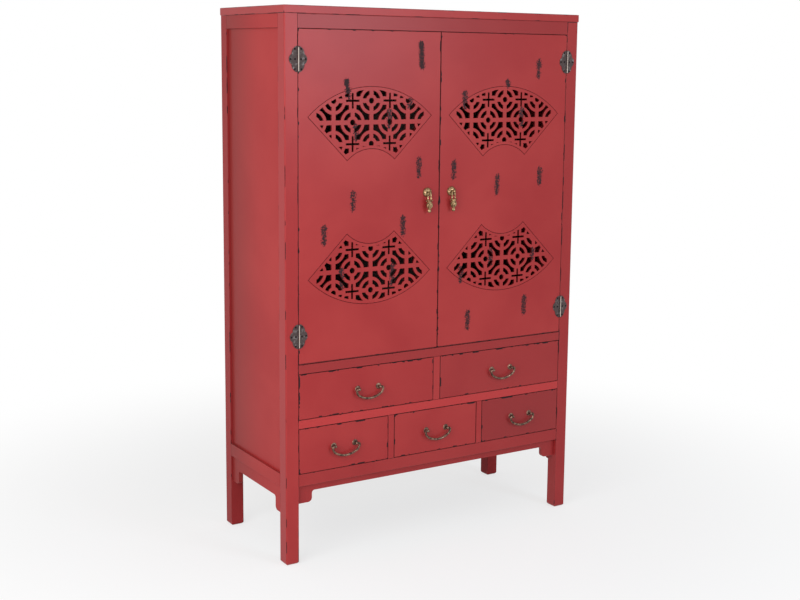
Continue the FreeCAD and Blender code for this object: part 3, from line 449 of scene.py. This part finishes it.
# darker red: a darker tone on some rails and the apron, and painted shade on the right drawers, the
# right front post and the back posts
RED_DARKER_AND_SHADED = paint(144, 45, 46)
# lighter red: a painted highlight on the rail between the drawers
RED_LIT = paint(192, 60, 60)
# painted shade colours: the outer faces of posts and slab, and the sides towards the back
RED_SIDE_SHADED = paint(158, 38, 40)
RED_BACK_SHADED = paint(136, 50, 48)
# painted highlight colour of the arris
RED_ARRIS_HIGHLIGHT = paint(200, 100, 100)
# dark of dirt in the seams, and painted shade in the gaps, the piercings and at the door sill
SEAM_DIRT_AND_SHADE = paint(58, 5, 9)
GROUND = paint(32, 22, 26)
print("red lacquer, linear:", [round(value, 3) for value in RED[:3]])

# %% [markdown]
# One function makes the finish of one board, because its edges are found from that board's own box. The
# colours lie on each other in layers: the red with its clouds, the tint of a darker or lighter board,
# which is partly painted shade and painted highlight, a zone of painted shade, the painted highlight of
# the arris, the dirt and painted shade of the seams and gaps, and last the black ground where the
# lacquer is gone. Dirt, painted shade and bare ground are also rougher than the lacquer.

# %% Finish of one lacquered board
CLOUDS = 3.5
ARRIS_HIGHLIGHT_SHARE = 0.3
BLACK = 0.97
ROUGH = 0.32
ROUGHER = 0.3


def start_material(name):
    """New material with its wiring helper and its surface shader."""
    material = bpy.data.materials.new(name)
    material.use_nodes = True
    return material, Wiring(material.node_tree), material.node_tree.nodes["Principled BSDF"]


def lacquer(name, low, high, wear, marks, gap_shade, sheen, tint, shade_zone, seed):
    """Worn satin lacquer of one board between two corners."""
    reach, share, length, seam, wall_shade = wear
    tint_red, tint_share = tint
    material, w, shader = start_material(name)
    slow = w.put("ShaderNodeGroup", {"Scale": CLOUDS, "Seed": seed}, node_tree=tone)
    worn = w.put("ShaderNodeGroup", {"Low": low, "High": high, "Reach": reach * MM, "Share": share,
                                     "Length": length * MM, "Seed": seed}, node_tree=chips)
    grime_and_shade = w.put("ShaderNodeGroup", {"Low": low, "High": high}, node_tree=seams)
    # dark in the seams: dirt, and painted shade of the groove
    dirt_and_shade = w.math("MULTIPLY", grime_and_shade.outputs["DirtAndShade"], seam)
    # painted shade of the gap on the sides of a door or drawer front
    if gap_shade:
        dirt_and_shade = w.math("MAXIMUM", dirt_and_shade, w.math("MULTIPLY", grime_and_shade.outputs["GapShade"], gap_shade))
    # painted shade on the walls of the piercings
    if wall_shade:
        inside = w.step(w.split(w.place())[1], FACE + 0.3 * MM, FACE + 1.2 * MM)
        dirt_and_shade = w.math("MAXIMUM", dirt_and_shade, w.math("MULTIPLY", inside, wall_shade))
    # tint of the board, partly painted shade and painted highlight
    colour = w.mix(tint_share, w.mix(slow.outputs["Tone"], RED_DEEP, RED), tint_red)
    # painted shade from a zone of the cabinet
    if shade_zone:
        where, shade_share, shade_colour = shade_zone
        here = w.put("ShaderNodeGroup", node_tree=shade_zones).outputs[where]
        colour = w.mix(w.math("MULTIPLY", here, shade_share), colour, shade_colour)
    # painted highlight along the arris
    colour = w.mix(w.math("MULTIPLY", worn.outputs["Arris"], ARRIS_HIGHLIGHT_SHARE), colour, RED_ARRIS_HIGHLIGHT)
    colour = w.mix(dirt_and_shade, colour, SEAM_DIRT_AND_SHADE)
    bare = worn.outputs["Chips"]
    if marks:
        rubbed = w.put("ShaderNodeGroup", node_tree=marks).outputs["Marks"]
        bare = w.math("MAXIMUM", bare, rubbed)
    colour = w.mix(w.math("MULTIPLY", bare, BLACK), colour, GROUND)
    rough = w.math("ADD", ROUGH, w.math("MULTIPLY", w.math("MAXIMUM", bare, dirt_and_shade), ROUGHER))
    bump = w.put("ShaderNodeBump", {"Strength": 0.12, "Distance": 0.4 * MM,
                                    "Height": w.math("SUBTRACT", slow.outputs["Height"], bare)})
    shader.inputs["Specular IOR Level"].default_value = sheen
    w.link(colour, shader.inputs["Base Color"])
    w.link(rough, shader.inputs["Roughness"])
    w.link(bump.outputs[0], shader.inputs["Normal"])
    return material


def dress(name, material):
    """Gives a piece of the frame its finish."""
    slots = nodes[name].data.materials
    slots.clear()
    slots.append(material)


print("lacquer is ready to lay on")

# %% [markdown]
# How much a board is worn depends on where it is. Drawer fronts are chipped all round, posts and slab
# along their outer edges, doors at their edges, and rails less. Each row gives how far the chips reach
# in, the share of edge that is chipped, how long the chips are, the dirt and painted shade in the seams,
# and for the pierced fans how dark the walls of the piercings are painted, which is painted shade.
# Lengths are in millimetres.

# %% Wear of each board
SIDES = ("left", "right")
DRAWERS = [name.removesuffix("_front") for name in nodes
           if name.startswith("drawer_") and name.endswith("_front")]
RAIL = (1.6, 0.25, 22, 0.9, 0)
DIVIDER = (1.6, 0.3, 22, 0.9, 0)
APRON = (1.2, 0.1, 22, 0, 0)
# for the fans the last value paints shade on the walls of the piercings
FAN = (0.6, 0, 22, 1.0, 0.75)
boards = {"top_board": (1.9, 0.75, 60, 0.45, 0), "top_rail": RAIL, "middle_rail": RAIL,
          "drawer_rail": RAIL, "bottom_rail": RAIL, "front_apron": APRON,
          "upper_divider": DIVIDER, "lower_dividers": DIVIDER}
for side in SIDES:
    boards.update({"post_front_" + side: (1.9, 0.75, 60, 0.8, 0),
                   "post_back_" + side: (1.9, 0.7, 60, 0.8, 0),
                   "side_rails_" + side: (1.4, 0.2, 22, 0.7, 0),
                   "side_panel_" + side: (1.0, 0, 22, 0, 0), "side_apron_" + side: APRON,
                   "door_leaf_" + side: (3.0, 0.5, 24, 0.9, 0),
                   "fretwork_upper_" + side: FAN, "fretwork_lower_" + side: FAN})
boards.update({drawer + "_front": (3.6, 0.65, 28, 0.75, 0) for drawer in DRAWERS})
print("lacquered pieces:", len(boards))

# %% [markdown]
# No two boards of an old cabinet have quite the same red. Some rails and the front apron are a darker
# red. The drawers on the right, the right front post and the back posts are painted darker too, as
# painted shade, where less light falls. The rail between the drawers is painted lighter, a painted
# highlight. The sides and the back posts are more matt, so they have less sheen. Each board gets its own
# seed, so that no two have the same chips.

# %% Tone and painted shade of each board
# the darker red on the right drawers and the posts is painted shade, and the lighter red on the drawer
# rail is a painted highlight
tints_and_shade = {"top_rail": (RED_DARKER_AND_SHADED, 0.6), "middle_rail": (RED_DARKER_AND_SHADED, 0.55), "bottom_rail": (RED_DARKER_AND_SHADED, 0.3),
         "front_apron": (RED_DARKER_AND_SHADED, 0.4), "post_front_right": (RED_DARKER_AND_SHADED, 0.25),
         "post_back_left": (RED_DARKER_AND_SHADED, 0.8), "post_back_right": (RED_DARKER_AND_SHADED, 0.8),
         "drawer_rail": (RED_LIT, 0.7), "drawer_upper_right_front": (RED_DARKER_AND_SHADED, 0.4),
         "drawer_lower_right_front": (RED_DARKER_AND_SHADED, 0.8)}
NO_TINT = (RED, 0.0)
SATIN = 0.2
MATT = 0.06
# share of painted shade on the narrow sides of doors and drawer fronts
GAP_SHADE_SHARE = 0.9


def shade_zone_of(name):
    """Zone of painted shade that darkens a board's red, as output of the group, share and colour."""
    if name == "top_board":
        return ("Outer", 0.5, RED_SIDE_SHADED)
    if name.startswith("post_front_"):
        return ("Outer", 0.9, RED_SIDE_SHADED)
    if name.startswith("side_"):
        return ("Back", 0.9, RED_BACK_SHADED)
    if name.startswith("door_leaf_"):
        return ("Sill", 0.85, SEAM_DIRT_AND_SHADE)
    return None


print("boards with a tint of their own:", len(tints_and_shade))

# %% Lacquer the outside
for index, (name, wear) in enumerate(boards.items()):
    low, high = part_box(name)
    on_door = name.startswith(("door_leaf", "fretwork"))
    marks = marks_of[name.rsplit("_", 1)[1]] if on_door else None
    matt = name.startswith(("side_", "post_back_"))
    has_gap = name.startswith("door_leaf") or name.endswith("_front")
    finish = lacquer("lacquer_" + name, low, high, wear, marks=marks,
                     gap_shade=GAP_SHADE_SHARE if has_gap else 0.0, sheen=MATT if matt else SATIN,
                     tint=tints_and_shade.get(name, NO_TINT), shade_zone=shade_zone_of(name), seed=index * 1.7)
    dress(name, finish)
print("last lacquer laid:", finish.name)

# %% [markdown]
# ## Wood inside
#
# Inside, and at the back, such a cabinet is only stained. A board's grain runs along its length,
# so the noise is drawn out along the board. A wave pattern would give rings that are too even.

# %% Finish of the inner boards
STAIN_DARK = paint(88, 52, 36)
STAIN_LIGHT = paint(132, 84, 58)
STAIN_PORES = paint(58, 32, 22)
ALONG_X = (0.08, 1.0, 1.0)
ALONG_Y = (1.0, 0.08, 1.0)
ALONG_Z = (1.0, 1.0, 0.08)


def stained(name, stretch, seed):
    """Dark stained wood with its grain along one axis."""
    material, w, shader = start_material(name)
    lines = w.put("ShaderNodeGroup", {"Stretch": stretch, "Seed": seed}, node_tree=grain)
    colour = w.mix(w.step(lines.outputs["Grain"], 0.3, 0.7), STAIN_DARK, STAIN_LIGHT)
    colour = w.mix(w.math("MULTIPLY", lines.outputs["Pores"], 0.35), STAIN_PORES, colour)
    bump = w.put("ShaderNodeBump", {"Strength": 0.25, "Distance": 0.5 * MM,
                                    "Height": lines.outputs["Pores"]})
    w.link(colour, shader.inputs["Base Color"])
    w.link(w.math("ADD", 0.6, w.math("MULTIPLY", lines.outputs["Grain"], 0.15)),
           shader.inputs["Roughness"])
    w.link(bump.outputs[0], shader.inputs["Normal"])
    return material


inner = {"back_panel": ALONG_Z, "back_rails": ALONG_X, "cabinet_floor": ALONG_X, "shelf": ALONG_X,
         "shelf_cleats": ALONG_Y, "drawer_runners": ALONG_Y}
inner.update({drawer + "_box": ALONG_Y for drawer in DRAWERS})
for index, (name, stretch) in enumerate(inner.items()):
    dress(name, stained("stained_" + name, stretch, index * 2.3))
print("stained pieces:", len(inner))

# %% [markdown]
# ## Bronze and brass
#
# The hinges and bails are bronze under a dark patina, and the pulls are a yellower brass. The same
# function makes all of them from a bright colour and a dark one, because only tone and gloss differ.
# Patina is duller than bare metal and less of a metal itself. Along the crest of each hinge barrel,
# which stands furthest out, a bright line is painted in: a painted highlight.

# %% Finish of the metal fittings
DULLER = 0.25
LESS_METAL = 0.4


def aged_metal(name, bright, dark, cover, scale, rough, highlight_band=None):
    """Metal with patina; the band of Y that is given, in metres, from dull to bright, carries a painted
    highlight.
    """
    material, w, shader = start_material(name)
    crust = w.put("ShaderNodeGroup", {"Scale": scale, "Cover": cover}, node_tree=patina)
    shade = crust.outputs["Dark"]
    bump = w.put("ShaderNodeBump", {"Strength": 0.3, "Distance": 0.3 * MM,
                                    "Height": crust.outputs["Height"]})
    hollow = w.put("ShaderNodeAttribute", attribute_name="hollow").outputs["Fac"]
    shade = w.math("MAXIMUM", shade, hollow)
    colour = w.mix(shade, bright, dark)
    if highlight_band:
        # painted highlight: a bright line along the crest of the hinge barrel
        colour = w.mix(w.step(w.split(w.place())[1], highlight_band[0], highlight_band[1]), colour, BARREL_HIGHLIGHT)
    w.link(colour, shader.inputs["Base Color"])
    w.link(w.math("ADD", rough, w.math("MULTIPLY", shade, DULLER)), shader.inputs["Roughness"])
    w.link(w.math("SUBTRACT", 1.0, w.math("MULTIPLY", shade, LESS_METAL)),
           shader.inputs["Metallic"])
    w.link(bump.outputs[0], shader.inputs["Normal"])
    return material


# colour of the painted highlight on the hinge barrels, and the band of Y where it lies
BARREL_HIGHLIGHT = paint(216, 200, 186)
CREST = (FACE - 5.12 * MM, FACE - 5.3 * MM)
hinge_finish = aged_metal("hinge_bronze", paint(126, 118, 116), paint(84, 70, 68), cover=0.6,
                          scale=110.0, rough=0.5, highlight_band=CREST)
bail_finish = aged_metal("bail_bronze", paint(140, 108, 92), paint(66, 46, 38), cover=0.5,
                         scale=120.0, rough=0.34)
brass_finish = aged_metal("pull_brass", paint(188, 156, 116), paint(84, 64, 36), cover=0.5,
                          scale=190.0, rough=0.28)
for name in nodes:
    if name.startswith("hinge_"):
        dress(name, hinge_finish)
    elif name.endswith(("_studs", "_bail")):
        dress(name, bail_finish)
    elif name.startswith("pull_"):
        dress(name, brass_finish)
print("metal finishes:", hinge_finish.name, bail_finish.name, brass_finish.name)

# %% [markdown]
# ## Nails of the hinges
#
# Each leaf is held by four small nails. They could be copied by hand, but then a change of size
# would have to be made 32 times. Here their places are points, and a geometry tree puts the same
# flattened head on each point. Height and radius are inputs of the tree. The result is turned
# into a plain mesh, one for each body that the nails move with.

# %% Geometry tree: round heads on points
heads = bpy.data.node_groups.new("nail_heads", "GeometryNodeTree")
for label, kind in (("Geometry", "NodeSocketGeometry"), ("Radius", "NodeSocketFloat"),
                    ("Height", "NodeSocketFloat"), ("Finish", "NodeSocketMaterial")):
    heads.interface.new_socket(label, in_out="INPUT", socket_type=kind)
heads.interface.new_socket("Geometry", in_out="OUTPUT", socket_type="NodeSocketGeometry")
w = Wiring(heads)
given = w.put("NodeGroupInput").outputs
ball = w.put("GeometryNodeMeshUVSphere", {"Segments": 20, "Rings": 12, "Radius": 1.0}).outputs["Mesh"]
size = w.put("ShaderNodeCombineXYZ", {0: given["Radius"], 1: given["Height"], 2: given["Radius"]})
head = w.put("GeometryNodeTransform", {"Geometry": ball, "Scale": size.outputs[0]}).outputs[0]
placed = w.put("GeometryNodeInstanceOnPoints", {"Points": given["Geometry"], "Instance": head})
real = w.put("GeometryNodeRealizeInstances", {"Geometry": placed.outputs[0]}).outputs[0]
smooth = w.put("GeometryNodeSetShadeSmooth", {"Geometry": real}).outputs[0]
painted = w.put("GeometryNodeSetMaterial", {"Geometry": smooth, "Material": given["Finish"]})
w.put("NodeGroupOutput", {"Geometry": painted.outputs[0]})
print("geometry tree:", heads.name, "with", len(heads.nodes), "nodes")


# %% Put the nails in
def on_points(name, points, tree, values):
    """Plain mesh that a geometry tree makes on some points, with values for its named inputs."""
    mesh = bpy.data.meshes.new(name)
    mesh.from_pydata(points, [], [])
    made = bpy.data.objects.new(name, mesh)
    bpy.context.scene.collection.objects.link(made)
    modifier = made.modifiers.new(name, "NODES")
    modifier.node_group = tree
    for item in tree.interface.items_tree:
        if item.in_out == "INPUT" and item.name in values:
            modifier[item.identifier] = values[item.name]
    view = bpy.context.evaluated_depsgraph_get()
    plain = bpy.data.meshes.new_from_object(made.evaluated_get(view))
    made.modifiers.clear()
    made.data = plain
    plain.name = name
    return made


nail_finish = aged_metal("nail_bronze", paint(84, 62, 58), paint(34, 20, 22), cover=0.8,
                         scale=300.0, rough=0.5)
NAIL_PLACES = [(9.4, 26.0), (9.4, -26.0), (21.5, 0.0), (8.9, 0.0)]
NAIL_RADIUS = 2.8 * MM
NAIL_HEIGHT = 1.1 * MM
LEAF_FRONT = FACE - 1.5 * MM


def nail_points(side, outward):
    """Places of the nails of the two leaves of one kind on one side."""
    return [(side * (HINGE_X + outward * x * MM), LEAF_FRONT, level + z * MM)
            for level in HINGE_LEVELS for x, z in NAIL_PLACES]


nails = {"carcass": nail_points(-1, 1) + nail_points(1, 1),
         "door_left": nail_points(-1, -1), "door_right": nail_points(1, -1)}
for body, points in nails.items():
    made = on_points("hinge_nails_" + body, points, heads,
                     {"Radius": NAIL_RADIUS, "Height": NAIL_HEIGHT, "Finish": nail_finish})
    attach(made, body)
    print("nails on", body + ":", len(points))

# %% [markdown]
# ## Cast drops of the pulls
#
# The frame holds each drop as a plain turned shape. The real one is a small casting: a loop with
# beads on its strands, two nubs, a rimmed collar, a belly of twisted lobes and a ball. It could
# be sculpted, but a rule keeps the lobes even and the mesh closed. Every part is first a row of
# rings, in millimetres from the eye, and then skinned. Collar, belly and ball are one turned
# profile, given as height and radius, and the belly's radius also rises and falls round the
# axis. How deep a place lies between two lobes is kept on the mesh as an attribute, so that the
# brass can be darker there.

# %% Collar, belly and ball
PROFILE = [(-20.7, 0.0), (-20.7, 5.8), (-21.2, 6.9), (-22.1, 7.2), (-23.2, 7.0), (-23.9, 6.1),
           (-24.6, 5.4), (-26.0, 6.1), (-28.2, 7.6), (-31.0, 8.8), (-34.4, 9.3), (-37.8, 8.9),
           (-40.8, 7.7), (-43.4, 6.0), (-45.0, 4.6), (-46.0, 3.9), (-46.8, 4.1), (-47.8, 4.8),
           (-49.2, 5.3), (-50.6, 5.4), (-52.2, 5.1), (-53.6, 4.4), (-54.8, 3.3), (-55.7, 1.7),
           (-56.0, 0.0)]
BELLY_TOP = -24.6
BELLY_LONG = 21.4
FULLNESS = 0.7
LOBES = 6
LOBE_DEEP = 0.2
TWIST = 1.5
AROUND = 60
BETWEEN = 4


def drop_rings():
    """Rows of (point, hollow) round the axis, from the collar to the tip, in millimetres."""
    fine = []
    for (z0, r0), (z1, r1) in zip(PROFILE, PROFILE[1:]):
        fine += [(z0 + (z1 - z0) * k / BETWEEN, r0 + (r1 - r0) * k / BETWEEN)
                 for k in range(BETWEEN)]
    rows = []
    for z, r in fine + [PROFILE[-1]]:
        along = min(max((BELLY_TOP - z) / BELLY_LONG, 0.0), 1.0)
        swell = math.sin(math.pi * along) ** FULLNESS if 0 < along < 1 else 0.0
        row = []
        for k in range(AROUND):
            angle = 2 * math.pi * k / AROUND
            dip = (0.5 - 0.5 * math.cos(LOBES * (angle + TWIST * along))) ** 2 * swell
            radius = r * (1 - LOBE_DEEP * dip)
            row.append(((radius * math.cos(angle), radius * math.sin(angle), z), min(1.0, dip)))
        rows.append(row)
    return rows


print("rings of collar, belly and ball:", len(drop_rings()))

# %% [markdown]
# The loop and the nubs are bent rods. A curve with a bevel could make them, but a path with a
# radius for each of its points gives the same plain rings as the belly. The loop goes up one
# strand, over the eye and down the other. The two beads on each strand are bumps in the radius,
# given by level, rise and width. A nub is a thin arm that ends in a small ball.

# %% Loop and nubs
ROD_AROUND = 14
STRAND = 1.5
LOOP_LOW = -22.0
LOOP_HALF = 5.0
LOOP_CORNER = 2.7
BEADS = ((-9.0, 0.6, 2.4), (-17.0, 0.8, 2.8))
NUB_LEVEL = -22.2
NUB_START = 4.0
NUB_LONG = 7.9
NUB_BALL = 9.8
NUB_RADIUS = 2.1
NUB_TIP = 0.2
NUB_SAG = 0.5
ARM_RADIUS = 1.25
STEPS = {"strand": 24, "corner": 6, "nub": 18}


def tube_rings(path, radii):
    """Rows of points round a path in the plane of X and Z, one radius for each point of it."""
    rows = []
    for index, (point, radius) in enumerate(zip(path, radii)):
        ahead = Vector(path[min(index + 1, len(path) - 1)]) - Vector(path[max(index - 1, 0)])
        side = Vector((-ahead.z, 0, ahead.x)).normalized()
        row = []
        for k in range(ROD_AROUND):
            angle = 2 * math.pi * k / ROD_AROUND
            away = side * radius * math.cos(angle) + Vector((0, radius * math.sin(angle), 0))
            row.append((tuple(Vector(point) + away), 0.0))
        rows.append(row)
    return rows


def loop_path():
    """Centre line of the loop, up one strand and down the other."""
    straight = -LOOP_CORNER - LOOP_LOW
    strand = [(-LOOP_HALF, 0, LOOP_LOW + straight * k / STEPS["strand"])
              for k in range(STEPS["strand"] + 1)]
    angles = [math.pi / 2 * k / STEPS["corner"] for k in range(1, STEPS["corner"] + 1)]
    bend = [(-LOOP_HALF + LOOP_CORNER - LOOP_CORNER * math.cos(a), 0,
             -LOOP_CORNER + LOOP_CORNER * math.sin(a)) for a in angles]
    left = strand + bend
    return left + [(-x, 0, z) for x, y, z in reversed(left)]


def loop_radius(z):
    """Radius of a strand: thin in the eye, with two beads further down."""
    return STRAND + sum(rise * math.exp(-((z - level) / wide) ** 2) for level, rise, wide in BEADS)


def nub_rings(side):
    """Arm and ball at one side of the collar."""
    path = [(side * (NUB_START + NUB_LONG * k / STEPS["nub"]), 0,
             NUB_LEVEL - NUB_SAG * math.sin(math.pi * k / STEPS["nub"]))
            for k in range(STEPS["nub"] + 1)]
    reach = [abs(x) - NUB_BALL for x, y, z in path]
    ball = [math.sqrt(max(NUB_TIP ** 2, NUB_RADIUS ** 2 - r * r)) for r in reach]
    return tube_rings(path, [max(ARM_RADIUS, b) if r < 0 else b for r, b in zip(reach, ball)])


print("points along the loop:", len(loop_path()))

# %% Build the drops
SAME_PLACE = 0.004 * MM


def add_rings(mesh, layer, rows, place):
    """Skin between neighbouring rows, closed at both ends."""
    made = []
    for row in rows:
        verts = []
        for point, hollow in row:
            vert = mesh.verts.new(place + Vector(point) * MM)
            vert[layer] = hollow
            verts.append(vert)
        made.append(verts)
    for a, b in zip(made, made[1:]):
        for k in range(len(a)):
            after = (k + 1) % len(a)
            mesh.faces.new((a[k], a[after], b[after], b[k]))
    mesh.faces.new(made[0])
    mesh.faces.new(list(reversed(made[-1])))


def cast_drop(side):
    """Cast drop of one pull, in place of the plain one."""
    low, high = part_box("pull_drop_" + side)
    eye = Vector(((low.x + high.x) / 2, (low.y + high.y) / 2, high.z - STRAND * MM))
    mesh = bmesh.new()
    layer = mesh.verts.layers.float.new("hollow")
    path = loop_path()
    add_rings(mesh, layer, drop_rings(), eye)
    add_rings(mesh, layer, tube_rings(path, [loop_radius(z) for x, y, z in path]), eye)
    add_rings(mesh, layer, nub_rings(1), eye)
    add_rings(mesh, layer, nub_rings(-1), eye)
    bmesh.ops.remove_doubles(mesh, verts=mesh.verts, dist=SAME_PLACE)
    bmesh.ops.recalc_face_normals(mesh, faces=mesh.faces)
    data = bpy.data.meshes.new("pull_casting_" + side)
    mesh.to_mesh(data)
    mesh.free()
    data.shade_smooth()
    data.materials.append(brass_finish)
    made = bpy.data.objects.new("pull_casting_" + side, data)
    bpy.context.scene.collection.objects.link(made)
    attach(made, "pull_" + side)
    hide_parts("pull_drop_" + side)
    return made


for side in SIDES:
    made = cast_drop(side)
    print(made.name, "faces:", len(made.data.polygons))

# %% [markdown]
# ## Studio light
#
# One large soft lamp stands at the left, a little above the middle of the cabinet, and the world
# gives an even, plain light from all round. A cool lamp on the right is there for its gleam: from
# the camera, the upper front mirrors it. The background is white because the camera, gloss and
# glass see white where the rays meet nothing, and not because more light falls on the cabinet.

# %% World
SOFT_LIGHT = 0.46


def seen_rays(w):
    """1 for rays that show the background: from the camera, a gloss or a glass."""
    rays = w.put("ShaderNodeLightPath").outputs
    return w.math("MAXIMUM", rays["Is Camera Ray"],
                  w.math("MAXIMUM", rays["Is Glossy Ray"], rays["Is Transmission Ray"]))


world = bpy.data.worlds.new("studio")
world.use_nodes = True
bpy.context.scene.world = world
w = Wiring(world.node_tree)
world.node_tree.nodes.clear()
soft = w.put("ShaderNodeBackground", {"Color": (1, 1, 1, 1), "Strength": SOFT_LIGHT}).outputs[0]
white = w.put("ShaderNodeBackground", {"Color": (1, 1, 1, 1), "Strength": 1.0}).outputs[0]
blend = w.put("ShaderNodeMixShader", {0: seen_rays(w), 1: soft, 2: white}).outputs[0]
w.put("ShaderNodeOutputWorld", {"Surface": blend})
print("world:", world.name)


# %% Lamps
def lamp(name, azimuth, elevation, distance, size, power):
    """Square soft lamp that looks at the middle of the cabinet."""
    data = bpy.data.lights.new(name, "AREA")
    data.size = size
    data.energy = power
    made = bpy.data.objects.new(name, data)
    turn = aimed(math.radians(azimuth), math.radians(elevation))
    middle = (cad_low + cad_high) / 2
    made.matrix_world = Matrix.Translation(middle + turn.to_3x3() @ Vector((0, 0, distance))) @ turn
    bpy.context.scene.collection.objects.link(made)
    return made


COOL = (0.72, 0.88, 1.0)
key = lamp("key_lamp", azimuth=-60, elevation=15, distance=2.4, size=1.7, power=30.5)
gleam = lamp("gleam_lamp", azimuth=19, elevation=15, distance=3.5, size=1.0, power=33.0)
gleam.data.color = COOL
print("lamps:", key.name, gleam.name)

# %% [markdown]
# ## Floor
#
# The floor is plain and pale. Near the cabinet it takes the shadow, made lighter by a share of
# plain white, and further out it turns to the white of the background, so that no horizon shows.

# %% Pale floor
FLOOR_HALF = 30.0
NEAR_WHITE = 0.68
SHADOW_ENDS = (0.6, 2.0)
mesh = bpy.data.meshes.new("pale_floor")
corners = [(-FLOOR_HALF, -FLOOR_HALF, 0), (FLOOR_HALF, -FLOOR_HALF, 0),
           (FLOOR_HALF, FLOOR_HALF, 0), (-FLOOR_HALF, FLOOR_HALF, 0)]
mesh.from_pydata(corners, [], [(0, 1, 2, 3)])
floor = bpy.data.objects.new("pale_floor", mesh)
bpy.context.scene.collection.objects.link(floor)
material = bpy.data.materials.new("pale_floor")
material.use_nodes = True
w = Wiring(material.node_tree)
material.node_tree.nodes.clear()
matt = w.put("ShaderNodeBsdfDiffuse", {"Color": (0.95, 0.95, 0.95, 1)}).outputs[0]
plain = w.put("ShaderNodeEmission", {"Color": (1, 1, 1, 1), "Strength": 1.0}).outputs[0]
away = w.put("ShaderNodeVectorMath", {0: w.place()}, operation="LENGTH").outputs["Value"]
further = w.math("MULTIPLY", 1.0 - NEAR_WHITE, w.step(away, *SHADOW_ENDS))
share = w.math("MULTIPLY", seen_rays(w), w.math("ADD", NEAR_WHITE, further))
w.put("ShaderNodeOutputMaterial",
      {"Surface": w.put("ShaderNodeMixShader", {0: share, 1: matt, 2: plain}).outputs[0]})
floor.data.materials.append(material)
print("floor:", floor.name)

# %% [markdown]
# ## Last setting
#
# The colours are shown through the standard view transform.

# %% Finish
bpy.context.scene.view_settings.view_transform = "Standard"
